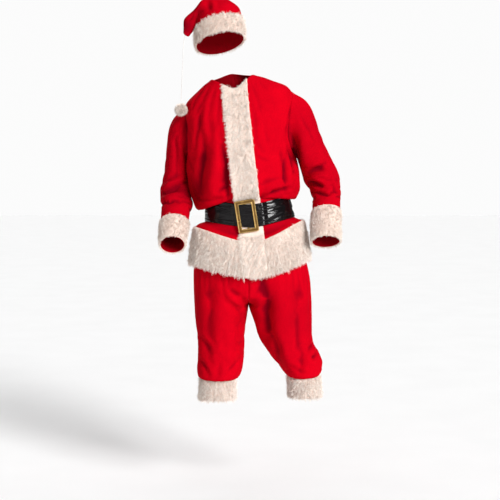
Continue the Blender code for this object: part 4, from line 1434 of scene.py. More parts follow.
# ------------ fur
@dataclass(frozen=True)
class Pile:
    """A faux fur: how its tufts are made, how thickly they stand and how they lie."""

    length: float = 0.015     # a tuft's length
    strands: int = 5          # strands in a tuft
    width: float = 0.0010     # a strand's width at its root
    splay: float = 0.0024     # how far from the tuft's middle its strands bend
    density: float = 88000.0  # tufts in a square metre
    lift: float = 0.55        # how far the tufts stand up, against 1 for how far they lie over
    spread: float = 0.55      # how far a tuft strays from its neighbours' direction
    kinds: int = 4            # different tufts
    tone: float = 1.0         # how much darker its darkest tufts are
    levels: tuple = (0.0, 0.55)   # places along a strand, besides its tip, that have points
    taper: float = 0.62       # how much narrower a strand gets
    uneven: float = 0.3       # how unevenly the strands stand round the tuft
    tall: tuple = (0.70, 1.0)     # the shortest and longest strand, against the tuft's length
    reach: tuple = (0.6, 1.2)     # how far a strand bends out, against the splay
    curl: float = 0.9         # and how far sideways
    arch: tuple = (0.35, 1.1, 0.75)   # how far out its root is and its middle, and the arch's length
    gather: float = 0.45      # how far out its tip stays

    def tuft(self, name: str, rng: np.random.Generator) -> Piece:
        """A tuft: tapering strands that stand along Z, bend outwards and come together at their tips.

        Args:
            name: The tuft's name.
            rng: Where its chances come from.

        Returns:
            The tuft, whose points carry "along", 0 at the root and 1 at the tip.
        """
        points, faces, along = [], [], []
        for strand in range(self.strands):
            turn = 2 * math.pi * (strand + rng.uniform(-self.uneven, self.uneven)) / self.strands
            out = np.array((math.cos(turn), math.sin(turn), 0.0))
            across = np.array((-out[1], out[0], 0.0))
            tall = self.length * rng.uniform(*self.tall)
            reach = self.splay * rng.uniform(*self.reach)
            curl = rng.uniform(-self.curl, self.curl) * self.splay
            first = len(points)
            for level in self.levels:
                bend = self.arch[0] + self.arch[1] * math.sin(math.pi * level * self.arch[2])
                middle = out * reach * bend + across * curl * level ** 2 + np.array((0, 0, tall * level))
                half = self.width / 2 * (1 - self.taper * level)
                points += [middle - across * half, middle + across * half]
                along += [level, level]
            points.append(out * reach * self.gather + across * curl + np.array((0, 0, tall)))
            along.append(1.0)
            faces += [(first, first + 1, first + 3, first + 2), (first + 2, first + 3, first + 4)]
        mesh = new_mesh(name, np.array(points), faces, {"along": np.array(along)})
        return bpy.data.objects.new(name, mesh)


PILE = Pile()
SMOOTH_PILE = Pile(tone=0.70, spread=0.42)
WOOL = Pile(length=0.0135, strands=6, width=0.0010, splay=0.0034, density=230000.0, lift=1.0, spread=0.42)


class FurMaker:
    """Grows tufts on a surface with Geometry Nodes and hands back a plain mesh."""

    INPUTS = (("Density", "NodeSocketFloat"), ("Seed", "NodeSocketInt"), ("Lift", "NodeSocketFloat"),
              ("Spread", "NodeSocketFloat"), ("Tone", "NodeSocketFloat"),
              ("Material", "NodeSocketMaterial"), ("Tufts", "NodeSocketCollection"))
    LEAST_LIFT = 0.28         # how far every tuft leans out of the surface at least
    SIZES = (0.72, 1.18)      # the smallest and largest tuft, against the style's length
    SPIN_SEED, SIZE_SEED, KIND_SEED, TONE_SEED = 7, 11, 13, 17
    FIRST_SEED = 100          # each piece's tufts are drawn with a seed of their own after this

    def __init__(self, material: Material) -> None:
        """Makes the tufts and the node tree.

        Args:
            material: The fur's finish.
        """
        self.material = material
        self.tree = self._tree()
        self.sockets = {item.name: item.identifier for item in self.tree.interface.items_tree
                        if item.item_type == "SOCKET" and item.in_out == "INPUT"}
        self.made = 0

    def _tree(self) -> bpy.types.NodeTree:
        """Builds the node tree: tufts scattered on a surface, combed, turned, scaled and toned."""
        tree = bpy.data.node_groups.new("fur", "GeometryNodeTree")
        tree.interface.new_socket("Geometry", in_out="INPUT", socket_type="NodeSocketGeometry")
        for name, kind in self.INPUTS:
            tree.interface.new_socket(name, in_out="INPUT", socket_type=kind)
        tree.interface.new_socket("Geometry", in_out="OUTPUT", socket_type="NodeSocketGeometry")
        nodes = Nodes(tree)
        given = nodes.add("NodeGroupInput").outputs
        seed = given["Seed"]
        scatter = nodes.add("GeometryNodeDistributePointsOnFaces", {
            "Mesh": given["Geometry"], "Density": given["Density"], "Seed": seed})
        normal = scatter.outputs["Normal"]
        comb = nodes.add("GeometryNodeInputNamedAttribute", {"Name": "comb"}, data_type="FLOAT_VECTOR")
        pile = nodes.add("GeometryNodeInputNamedAttribute", {"Name": "pile"}, data_type="FLOAT")
        stray = nodes.add("FunctionNodeRandomValue", {0: (-1, -1, -1), 1: (1, 1, 1), "Seed": seed},
                          data_type="FLOAT_VECTOR")
        lean = nodes.vector("ADD", nodes.vector("SCALE", normal, given["Lift"]), comb.outputs[0])
        way = nodes.vector("ADD", lean, nodes.vector("SCALE", stray.outputs[0], given["Spread"]))
        lack = nodes.math("SUBTRACT", self.LEAST_LIFT, nodes.vector("DOT_PRODUCT", way, normal))
        clear = nodes.vector("ADD", way, nodes.vector("SCALE", normal, lack))
        turn = nodes.add("FunctionNodeAlignRotationToVector", {"Vector": clear}, axis="Z")
        spin = nodes.add("FunctionNodeAxisAngleToRotation", {
            "Axis": (0, 0, 1), "Angle": nodes.chance(0.0, 2 * math.pi, self.SPIN_SEED)})
        turned = nodes.add("FunctionNodeRotateRotation", {0: turn.outputs[0], 1: spin.outputs[0]},
                           rotation_space="LOCAL")
        scale = nodes.math("MULTIPLY", nodes.chance(*self.SIZES, self.SIZE_SEED), pile.outputs[0], False)
        kinds = nodes.add("GeometryNodeCollectionInfo", {
            "Collection": given["Tufts"], "Separate Children": True, "Reset Children": True})
        pick = nodes.add("FunctionNodeRandomValue", {4: 0, 5: Pile.kinds - 1, "Seed": self.KIND_SEED},
                         data_type="INT")
        placed = nodes.add("GeometryNodeInstanceOnPoints", {
            "Points": scatter.outputs["Points"], "Instance": kinds.outputs[0], "Pick Instance": True,
            "Instance Index": pick.outputs[2], "Rotation": turned.outputs[0], "Scale": scale})
        tone = nodes.chance(0.0, given["Tone"], self.TONE_SEED)
        toned = nodes.add("GeometryNodeStoreNamedAttribute", {
            "Geometry": placed.outputs[0], "Name": "tone", "Value": tone},
            data_type="FLOAT", domain="INSTANCE")
        real = nodes.add("GeometryNodeRealizeInstances", {"Geometry": toned.outputs[0]})
        finished = nodes.add("GeometryNodeSetMaterial", {"Geometry": real.outputs[0],
                                                         "Material": given["Material"]})
        end = nodes.add("NodeGroupOutput")
        tree.links.new(finished.outputs[0], end.inputs[0])
        return tree

    def grow(self, name: str, points: Array, faces: list, comb: Array, pile: Array,
             style: Pile = PILE) -> Piece:
        """Grows fur on a surface.

        Args:
            name: The piece's name.
            points: The surface's points.
            faces: Its faces.
            comb: The way that the fur is combed at each point.
            pile: The fur's length at each point, against the style's own.
            style: What the fur is like.

        Returns:
            The fur as one plain mesh.
        """
        self.made += 1
        rng = np.random.default_rng(self.FIRST_SEED + self.made)
        tufts = bpy.data.collections.new(name + "_tufts")
        for kind in range(style.kinds):
            tufts.objects.link(style.tuft(f"{name}_tuft_{kind}", rng))
        surface = new_mesh(name, points, faces, {"comb": comb, "pile": pile})
        grown = new_object(name, surface, self.material)
        modifier = grown.modifiers.new("fur", "NODES")
        modifier.node_group = self.tree
        values = {"Density": style.density, "Seed": self.made, "Lift": style.lift, "Spread": style.spread,
                  "Tone": style.tone, "Material": self.material, "Tufts": tufts}
        for key, value in values.items():
            modifier[self.sockets[key]] = value
        grown.update_tag()
        depsgraph = bpy.context.evaluated_depsgraph_get()
        plain = bpy.data.meshes.new_from_object(grown.evaluated_get(depsgraph), depsgraph=depsgraph)
        grown.modifiers.remove(modifier)
        grown.data = plain
        plain.name = name
        for tuft in list(tufts.objects):
            bpy.data.objects.remove(tuft)
        bpy.data.collections.remove(tufts)
        bpy.data.meshes.remove(surface)
        log.info("%s: %d faces of fur", name, len(plain.polygons))
        return grown


@dataclass(frozen=True)
class Cut:
    """A piece of cloth as it was cut: the rectangle that holds it, its area and what carries it."""

    width: float
    length: float
    area: float
    rests_on: str

    def declare(self, sheet: Piece, held: str, pile: list[Piece]) -> None:
        """Does nothing: how a sheet was cut and how it is held are not recorded."""


@dataclass(frozen=True)
class Trim:
    """A strip of fur on a garment: a backing of short pile, and tufts that lie over it."""

    maker: FurMaker
    backing: float = 0.0035   # thickness of the backing and its dense short pile
    thin: float = 0.55        # share of it that is left at the strip's ends
    rough: tuple = (110.0, 0.25)   # cycles a metre of the backing's unevenness, and its share
    rooted: float = 0.7       # how far up in the backing the tufts start
    patches: float = 150.0    # cycles a metre of the patches
    clump: float = 0.48       # how unevenly long the fur is from patch to patch
    swirl: float = 0.75       # and how far it strays from the comb
    limits: tuple = (0.35, 1.6)    # the shortest and longest fur, against the style's own
    stroke: tuple = (1.0, 1.0, 0.4)   # how much the patches are drawn out along Z

    def make(self, name: str, grid: Array, normals: Array, wrap: bool, comb: Array,
             cut: Cut, length: Array | float = 1.0, style: Pile = PILE, low_sides: bool = False
             ) -> None:
        """Args:
            name: The CAD node that the strip stands for.
            grid: The garment's points under the strip.
            normals: The garment's outward directions there.
            wrap: Whether the strip goes right round.
            comb: The way that the fur lies, for each point or for all.
            cut: The strip's size as it was cut.
            length: The fur's length at each point, against the style's own.
            style: What the fur is like.
            low_sides: Whether the backing thins out at the strip's sides.
        """
        rows, columns = grid.shape[:2]
        height = np.full((rows, columns), self.backing)
        height[(0, -1), :] *= self.thin
        if low_sides:
            height[:, (0, -1)] *= self.thin
        height += noise_at(grid, self.rough[0], 2.0)[..., 0] * self.backing * self.rough[1]
        # the backing has no "along" attribute, so it takes the fur's root colour, painted shade deep in the
        # pile
        base = shell(name + "_backing", pull_in(grid, False, not wrap), normals, GAP, GAP + height, wrap,
                     self.maker.material)
        surface = (grid + normals * (GAP + height[..., None] * self.rooted)).reshape(-1, 3)
        patches = noise_at(surface, self.patches, 4.0)[:, 0] * self.clump
        pile = np.broadcast_to(np.asarray(length, float), (rows, columns)).reshape(-1) * (1 + patches)
        lean = np.broadcast_to(comb, (rows, columns, 3)).reshape(-1, 3)
        lean = lean + noise_at(surface * np.array(self.stroke), self.patches, 8.0) * self.swirl
        faces = quads_of(np.arange(rows * columns).reshape(rows, columns), wrap).tolist()
        tufts = self.maker.grow(name + "_pile", surface, faces, lean, np.clip(pile, *self.limits), style)
        declare(name, "fur", base, tufts)
        cut.declare(base, "stretched", [tufts])


# ------------ garments
@dataclass(frozen=True)
class Panel:
    """A cloth panel: its cut and how its edges are finished."""

    cut: Cut
    first: Rim
    last: Rim
    sides: Rim = Rim.SEAM

    def make(self, name: str, form: Form, wrap: bool, material: Material, cap: bool = False,
             top: Array | None = None) -> None:
        """Args:
            name: The CAD node that the panel stands for, and its grid in the form.
            form: The garment's form.
            wrap: Whether the panel goes right round.
            material: The cloth's finish.
            cap: Whether its last row is closed.
            top: Other outward directions for the first row than the form's own.
        """
        grid, normals = form.surface(name)
        if top is not None:
            normals[0] = top
        height = edge_profile(*grid.shape[:2], self.first, self.last, Rim.CUT if wrap else self.sides)
        # the form's painted shade goes on the panel's points
        made = shell(name + "_cloth", pull_in(grid, self.first == Rim.SEAM, not wrap), normals, -CLOTH,
                     height, wrap, material, cap, form.hollow[form.index[name]])
        declare(name, "velour", made)
        self.cut.declare(made, "hung", [])


@dataclass(frozen=True)
class Finishes:
    """The suit's materials and what grows its fur."""

    velour: Material
    vinyl: Material
    brass: Material
    cord: Material
    fur: FurMaker


class Garment:
    """A part of the suit that is made from a form."""

    def dress(self, finishes: Finishes) -> None:
        """Args:
            finishes: The suit's materials.
        """
        raise NotImplementedError


@dataclass
class Jacket(Garment):
    """The jacket: two fronts, a back, two sleeves and their fur."""

    placket_width: float = 0.092
    neck_hold: float = 0.85            # how firmly the cloth is held at the neck
    armhole_free: float = 0.45         # and how free it is at the armholes
    cap_rows: float = 1.5              # rows of a sleeve over which it comes free
    cuff_rows: float = 1.3             # rows over which the cuff takes hold of it
    hem_pile: tuple = (1.25, 0.9)      # length of the fur along the hem's edge and at its top
    cuff_pile: float = 0.85            # and on the cuffs
    placket_comb: tuple = (-0.25, -0.75, -0.75)   # the closure's fur along X, more at its right, and Z
    pressed: float = 0.93              # how much of it the belt presses down
    pressed_rows: tuple = (-0.4, 0.6, 1.6)   # and the rows at the belt's edges over which that fades
    settle: Settle = Settle()

    PANELS = {
        "jacket_front_left": Panel(Cut(0.31, 0.80, 0.202, NECK), Rim.HEM, Rim.HEM),
        "jacket_front_right": Panel(Cut(0.35, 0.80, 0.226, NECK), Rim.HEM, Rim.HEM),
        "jacket_back": Panel(Cut(0.61, 0.83, 0.403, NECK), Rim.HEM, Rim.HEM),
        "jacket_sleeve_left": Panel(Cut(0.48, 0.67, 0.213, "jacket_front_left"), Rim.SEAM, Rim.HEM),
        "jacket_sleeve_right": Panel(Cut(0.43, 0.66, 0.194, "jacket_front_right"), Rim.SEAM, Rim.HEM),
    }
    BODY_NAMES = list(PANELS)[:3]
    SLEEVE_NAMES = {Side.LEFT: "jacket_sleeve_left", Side.RIGHT: "jacket_sleeve_right"}
    CUFFS = {Side.LEFT: Cut(0.131, 0.344, 0.0443, "jacket_sleeve_left"),
             Side.RIGHT: Cut(0.123, 0.336, 0.0390, "jacket_sleeve_right")}
    PLACKET = Cut(0.100, 0.785, 0.070, "jacket_front_left")
    HEM = {"left": (slice(WEAVE.placket, None), Cut(0.150, 0.258, 0.0359, "jacket_front_left")),
           "right": (slice(None, -WEAVE.placket), Cut(0.141, 0.296, 0.0379, "jacket_front_right")),
           "back": (slice(None), Cut(0.150, 0.616, 0.0827, "jacket_back"))}

    def __post_init__(self) -> None:
        """Builds the form, presses its folds and lets it settle."""
        arm_low, arm_top = JACKET.row("underarm"), JACKET.row("shoulder")
        shape = "front_z back_z right_z left_z front_y back_y right_x left_x"
        arm = [arm_low + i / WEAVE.armhole for i in range((arm_top - arm_low) * WEAVE.armhole)]
        self.places = (stations([JACKET], "hem_edge", "underarm", shape, ROW_STEP)[:-1] + arm
                       + stations([JACKET], "shoulder", "neck", shape, ROW_STEP))
        quarters = {(side, face): np.array([self._quarter(t, side, face) for t in self.places])
                    for side in Side for face in Face}
        left, right = quarters[Side.LEFT, Face.BACK], quarters[Side.RIGHT, Face.BACK]
        grids = {"jacket_front_left": quarters[Side.LEFT, Face.FRONT],
                 "jacket_front_right": quarters[Side.RIGHT, Face.FRONT][:, ::-1],
                 "jacket_back": np.concatenate([left[:, ::-1], right[:, 1:]], axis=1)}
        picked = [i for i, t in enumerate(self.places) if arm_low <= t <= arm_top]
        self.sleeve_places: dict[Side, list[float]] = {}
        for side, name in self.SLEEVE_NAMES.items():
            loop = np.concatenate([quarters[side, Face.FRONT][picked[::-1], -1],
                                   quarters[side, Face.BACK][picked[1:-1], -1]])
            places = stations([SLEEVES[side]], "armhole", "opening", "inner_x inner_z outer_x outer_z y",
                              ROW_STEP)
            rings = np.array([sleeve_ring(side, t, loop) for t in places])
            grids[name] = rings if side == Side.LEFT else rings[:, ::-1]
            self.sleeve_places[side] = places
        self.form = Form(grids, {name: "sleeve" in name for name in grids})
        self._shape()

    def _quarter(self, t: float, side: Side, face: Face) -> Array:
        """A row of one quarter, at the cloth's own fineness."""
        shares = (back_shares(WEAVE.back) if face == Face.BACK
                  else front_shares(t, side, WEAVE.placket, WEAVE.side, self.placket_width))
        return jacket_row(t, side, face, shares)

    def _hold(self) -> Array:
        """How free each point is: held at the neck, the belt, the hem and the cuffs."""
        places = np.array(self.places)
        free = smooth(JACKET.row("belt_top"), JACKET.row("waist"), places)
        free = free * (1 - self.neck_hold * smooth(JACKET.row("yoke") - 0.5, JACKET.row("neck"), places))
        rows = dict.fromkeys(self.BODY_NAMES, free)
        for side, name in self.SLEEVE_NAMES.items():
            along = np.array(self.sleeve_places[side])
            end = SLEEVES[side].row("cuff_top")
            cap = self.armhole_free + (1 - self.armhole_free) * smooth(0, self.cap_rows, along)
            rows[name] = cap * (1 - smooth(end - self.cuff_rows, end, along))
        return hold_of(self.form, rows)

    def _shape(self) -> None:
        """Presses the folds, settles the cloth and works out its painted shade."""
        hold = self._hold()
        for face in Face:
            self.form.press(self.BODY_NAMES, BODY_FOLDS[face], face, hold)
            for side, name in self.SLEEVE_NAMES.items():
                self.form.press([name], SLEEVE_FOLDS[side, face], face, hold)
        self.form.swell(self.BODY_NAMES, SWELLS["body"], hold)
        self.form.swell([self.SLEEVE_NAMES[Side.RIGHT]], SWELLS["sleeve"], hold)
        self.form.crumple(hold, 1.0)
        self.settle.run("jacket", self.form, hold)
        self.form.relax(SMOOTH_PLACES)
        self.form.shade(self.BODY_NAMES, SHADES["body"])
        self.form.shade(list(self.SLEEVE_NAMES.values()), SHADES["sleeve"])

    def dress(self, finishes: Finishes) -> None:
        """Makes the panels and the fur.

        Args:
            finishes: The suit's materials.
        """
        for name, panel in self.PANELS.items():
            panel.make(name, self.form, "sleeve" in name, finishes.velour)
        trim = Trim(finishes.fur)
        self._placket(trim)
        self._hem(trim)
        for side, name in self.SLEEVE_NAMES.items():
            first = self.sleeve_places[side].index(float(SLEEVES[side].row("cuff_top")))
            grid, normals = self.form.surface(name, slice(first, None))
            down = unit((grid[-1] - grid[0]).mean(axis=0))
            trim.make("jacket_cuff_fur_" + side.name.lower(), grid, normals, True, down, self.CUFFS[side],
                      self.cuff_pile)

    def _placket(self, trim: Trim) -> None:
        """The strip of fur down the closure, pressed flat under the belt.

        Args:
            trim: What makes strips of fur.
        """
        edge = WEAVE.placket
        halves = (self.form.surface("jacket_front_right", columns=slice(-edge - 1, None)),
                  self.form.surface("jacket_front_left", columns=slice(1, edge + 1)))
        grid, normals = (np.concatenate(both, axis=1) for both in zip(*halves))
        places = np.array(self.places)
        low, high = JACKET.row("flare"), JACKET.row("roll")
        below, within, above = self.pressed_rows
        under_belt = smooth(low + below, low + within, places) * (1 - smooth(high, high + above, places))
        length = np.repeat((1 - self.pressed * under_belt)[:, None], grid.shape[1], axis=1)
        comb = np.zeros(grid.shape)
        aside, more, down = self.placket_comb
        comb[..., 0] = aside + more * smooth(0.0, 1.0, -np.linspace(-1, 1, grid.shape[1]))
        comb[..., 2] = down
        trim.make("jacket_placket_fur", grid, normals, False, comb, self.PLACKET, length, SMOOTH_PILE, True)

    def _hem(self, trim: Trim) -> None:
        """The fur round the hem, in three strips.

        Args:
            trim: What makes strips of fur.
        """
        count = self.places.index(float(JACKET.row("hem_top"))) + 1
        along = np.linspace(*self.hem_pile, count)[:, None]
        for word, (part, cut) in self.HEM.items():
            source = "jacket_back" if word == "back" else "jacket_front_" + word
            grid, normals = self.form.surface(source, slice(count), part)
            trim.make("jacket_hem_fur_" + word, grid, normals, False, np.array((0, 0, -1.0)), cut,
                      np.broadcast_to(along, grid.shape[:2]))


# ------------ belt
@dataclass(frozen=True)
class Buckle:
    """A rectangular frame with raised rims, joined behind the strap to an upright bar."""

    width: float = 0.077
    height: float = 0.121
    bar: float = 0.0145
    thickness: float = 0.004
    place: tuple = (0.0600, -0.1322, -0.5225)
    lean: float = math.radians(9.0)
    tilt: float = math.radians(0.5)
    corner: tuple = (0.0022, 0.0058)     # radius inside and outside
    bar_size: tuple = (0.006, 0.002, 0.100)
    setback: float = 0.0045
    lug_place: float = 0.0497
    lug_height: float = 0.0075
    stud_radius: float = 0.0028
    stud_place: tuple = (-0.0322, -0.0008, -0.0155)
    stud_rings: int = 5
    stud_turns: int = 16
    stud_dome: float = 78.0              # how far up the dome its rings go, in degrees
    corner_steps: int = 7
    bevel: float = 0.25                  # a block's, against its least side
    # the channel between the rims: partly tarnished, partly painted shade
    groove_tarnish_and_shade: float = 0.85         # how dull the channel between the rims is
    groove_edge: tuple = (0.45, 0.75)    # and where across the frame that ends
    # how much duller the frame's back is, and the bar, the lugs and the stud
    back_dulling: float = 0.25
    bar_dulling: float = 0.3
    # across from the inner edge (-1) to the outer (1), and depth in millimetres, front negative
    profile: tuple = ((-1, 1.3), (-1, -0.7), (-0.93, -1.55), (-0.82, -1.95), (-0.66, -1.75),
                      (-0.40, -1.15), (0, -0.95), (0.40, -1.15), (0.66, -1.75), (0.82, -1.95),
                      (0.93, -1.55), (1, -0.7), (1, 1.3), (0.9, 2.0), (-0.9, 2.0))

    def outline(self, across: float) -> Array:
        """The frame's rounded outline.

        Args:
            across: A place across the frame's bar, from -1 inside to 1 outside.

        Returns:
            The outline's points, in X and Z.
        """
        half_x, half_z = (side / 2 - self.bar / 2 * (1 - across) for side in (self.width, self.height))
        radius = self.corner[0] + (self.corner[1] - self.corner[0]) * (across + 1) / 2
        points = []
        for quarter, (sign_x, sign_z) in enumerate(((1, 1), (-1, 1), (-1, -1), (1, -1))):
            for angle in np.radians(np.linspace(0, 90, self.corner_steps)) + math.pi / 2 * quarter:
                points.append((sign_x * (half_x - radius) + radius * math.cos(angle),
                               sign_z * (half_z - radius) + radius * math.sin(angle)))
        return np.array(points)

    def block(self, size: tuple, centre: tuple) -> tuple[Array, list]:
        """A block with bevelled edges.

        Args:
            size: Its length along each axis.
            centre: Its middle.

        Returns:
            Its points and faces.
        """
        work = bmesh.new()
        bmesh.ops.create_cube(work, size=1)
        bmesh.ops.scale(work, vec=size, verts=work.verts)
        bmesh.ops.bevel(work, geom=work.edges[:], offset=min(size) * self.bevel, segments=2,
                        profile=0.5, affect="EDGES")
        bmesh.ops.translate(work, vec=centre, verts=work.verts)
        points = np.array([vertex.co for vertex in work.verts])
        faces = [[vertex.index for vertex in face.verts] for face in work.faces]
        work.free()
        return points, faces

    def frame(self) -> tuple[Array, list, list[float]]:
        """The frame with its rims, as points, faces and how dull each point is."""
        rings, dull = [], []
        for across, depth in self.profile:
            flat = self.outline(across)
            # the channel is duller: partly tarnished, partly painted shade
            groove = self.groove_tarnish_and_shade * (1 - float(smooth(*self.groove_edge, abs(across))))
            dull += [groove + self.back_dulling * (depth > 0)] * len(flat)
            rings.append(np.stack([flat[:, 0], np.full(len(flat), depth / 1000), flat[:, 1]], -1))
        index = np.arange(len(dull)).reshape(len(rings), -1)
        faces = quads_of(np.concatenate([index, index[:1]]), True).tolist()
        return np.concatenate(rings), faces, dull

    def stud(self) -> tuple[Array, list]:
        """A small domed stud on the frame's right bar, as points and faces."""
        shape = (self.stud_rings, self.stud_turns)
        angle = np.linspace(0, 2 * math.pi, self.stud_turns, endpoint=False)
        rise = np.radians(np.linspace(0, self.stud_dome, self.stud_rings))[:, None]
        dome = np.stack([np.cos(rise) * np.cos(angle), np.broadcast_to(-np.sin(rise), shape),
                         np.cos(rise) * np.sin(angle)], -1)
        points = (dome * self.stud_radius + np.array(self.stud_place)).reshape(-1, 3)
        return points, tube_faces(np.arange(len(points)).reshape(shape))

    def make(self, material: Material) -> Piece:
        """Makes the buckle as one piece in its place.

        Args:
            material: The metal's finish.

        Returns:
            The piece.
        """
        points, faces, dull = self.frame()
        depth = self.setback + self.thickness / 2
        reach = depth + self.bar_size[1] / 2
        lug = (self.bar_size[0], reach, self.lug_height)
        parts = [self.block(self.bar_size, (0, depth, 0)), self.block(lug, (0, reach / 2, -self.lug_place)),
                 self.block(lug, (0, reach / 2, self.lug_place)), self.stud()]
        for part_points, part_faces in parts:
            faces += [[number + len(points) for number in face] for face in part_faces]
            points = np.concatenate([points, part_points])
        dull += [self.bar_dulling] * (len(points) - len(dull))
        mesh = new_mesh("belt_buckle_metal", points, faces, {"channel": np.array(dull)})
        turn_out(mesh, Matrix.Translation(self.place) @ Matrix.Rotation(-self.tilt, 4, "X")
                 @ Matrix.Rotation(-self.lean, 4, "Y"))
        return new_object("belt_buckle_metal", mesh, material)


@dataclass
class Belt(Garment):
    """The vinyl strap round the jacket and the buckle in front of it."""

    thickness: float = 0.0022
    least_thickness: float = 0.0008
    height: float = 0.085
    bump: float = 0.0083                 # how far it stands off over the placket
    bump_edge: tuple = (0.047, 0.070)    # from the closure, where it comes down to the jacket
    rows: int = 44
    columns: tuple = (12, 60, 60)        # over the placket, to the side and over half the back
    crease: tuple = (8.0, 78.0)          # cycles a metre of the long creases, along the belt and across it
    crease_drift: float = 1.6            # how far they wander, in cycles,
    drift_scale: float = 0.5             # and in how many cycles, against their own
    slant: tuple = ((10.0, 14.0), (-9.0, 56.0))   # the slanted creases' cycles, twice along and across
    slant_clip: tuple = (-0.6, 1.0)      # their least and greatest height, against the long ones
    slant_share: float = 0.9
    sharp: tuple = (3.2, 3.0)            # how sharp the long and the slanted creases are
    crease_height: float = 0.0012
    swell_scale: float = 0.22            # the slow unevenness's cycles, against the long creases
    swell_height: float = 0.0020
    calm: float = 0.40                   # how strong all this is away from the wearer's left,
    strained: float = 0.70               # how much stronger there,
    strain_edge: tuple = (0.075, 0.115)  # and the x between which that begins
    edge_share: float = 0.35             # how much of it is left at the strap's edges,
    edge_rows: float = 3.0               # and how many rows in it is whole
    edge_round: float = 0.0008
    flat_half: tuple = (0.046, 0.058)    # the strap lies flat behind the buckle, this far from its middle
    flat_depth: float = 0.0004
    buckle: Buckle = Buckle()

    def __post_init__(self) -> None:
        """Finds the strap's points."""
        levels = np.linspace(JACKET.row("belt_low"), JACKET.row("belt_top"), self.rows)
        rings = [jacket_ring(t, *self.columns, Jacket.placket_width) for t in levels]
        self.form = Form({"belt": np.array(rings)}, {"belt": True})
        self.from_edge = np.minimum(np.arange(self.rows), np.arange(self.rows)[::-1])[:, None]

    def _relief(self, grid: Array) -> Array:
        """The vinyl's own unevenness: long creases round the belt, deeper on the wearer's left.

        Args:
            grid: The strap's points.

        Returns:
            A height for each of them.
        """
        steps = np.linalg.norm(np.diff(grid, axis=1, append=grid[:, :1]), axis=-1).mean(axis=0)
        along = np.concatenate([[0.0], np.cumsum(steps)[:-1]])[None]
        up = np.linspace(0, 1, self.rows)[:, None] * self.height
        place = np.stack(np.broadcast_arrays(along * self.crease[0], up * self.crease[1], 0.0), -1)
        drift = noise_at(place * self.drift_scale, 1.0, 9.0)[..., 1:2] * np.array((0, self.crease_drift, 0))
        ridged = 1 - np.abs(noise_at(place + drift, 1.0, 4.0)[..., 0]) * self.sharp[0]
        slow = noise_at(place * self.swell_scale, 1.0, 2.0)[..., 0]
        across = [along * by_length + up * by_height for by_length, by_height in self.slant]
        across = np.stack(np.broadcast_arrays(*across, 3.0), -1)
        slanted = 1 - np.abs(noise_at(across, 1.0, 6.0)[..., 0]) * self.sharp[1]
        ridged = np.clip(ridged, -1.0, 1.0) + np.clip(slanted, *self.slant_clip) * self.slant_share
        strength = self.calm + self.strained * smooth(*self.strain_edge, grid[..., 0])
        fade = self.edge_share + (1 - self.edge_share) * smooth(0, self.edge_rows, self.from_edge)
        relief = (ridged * self.crease_height + slow * self.swell_height) * strength * fade
        from_buckle = np.abs(grid[..., 0] - self.buckle.place[0])
        behind = (grid[..., 1] < 0) * (1 - smooth(*self.flat_half, from_buckle))
        return np.where(behind > 0, relief - (np.maximum(relief, 0.0) + self.flat_depth) * behind, relief)

    def dress(self, finishes: Finishes) -> None:
        """Makes the strap and the buckle.

        Args:
            finishes: The suit's materials.
        """
        grid, normals = self.form.surface("belt")
        distance = np.where(grid[..., 1] < 0, np.abs(grid[..., 0] - grid[:, :1, 0]), 1.0)
        stand_off = GAP + (self.bump - GAP) * (1 - smooth(*self.bump_edge, distance))
        relief = self._relief(grid)
        rounded = -self.edge_round * ((1 - smooth(0, 2, self.from_edge)) + 0.25 * (self.from_edge == 0))
        inner = stand_off + np.clip(relief, 0.0, None)
        outer = np.maximum(stand_off + self.thickness + relief + rounded, inner + self.least_thickness)
        declare("belt_strap", "vinyl",
                shell("belt_strap_vinyl", grid, normals, inner, outer, True, finishes.vinyl))
        declare("belt_buckle", "brass", self.buckle.make(finishes.brass))


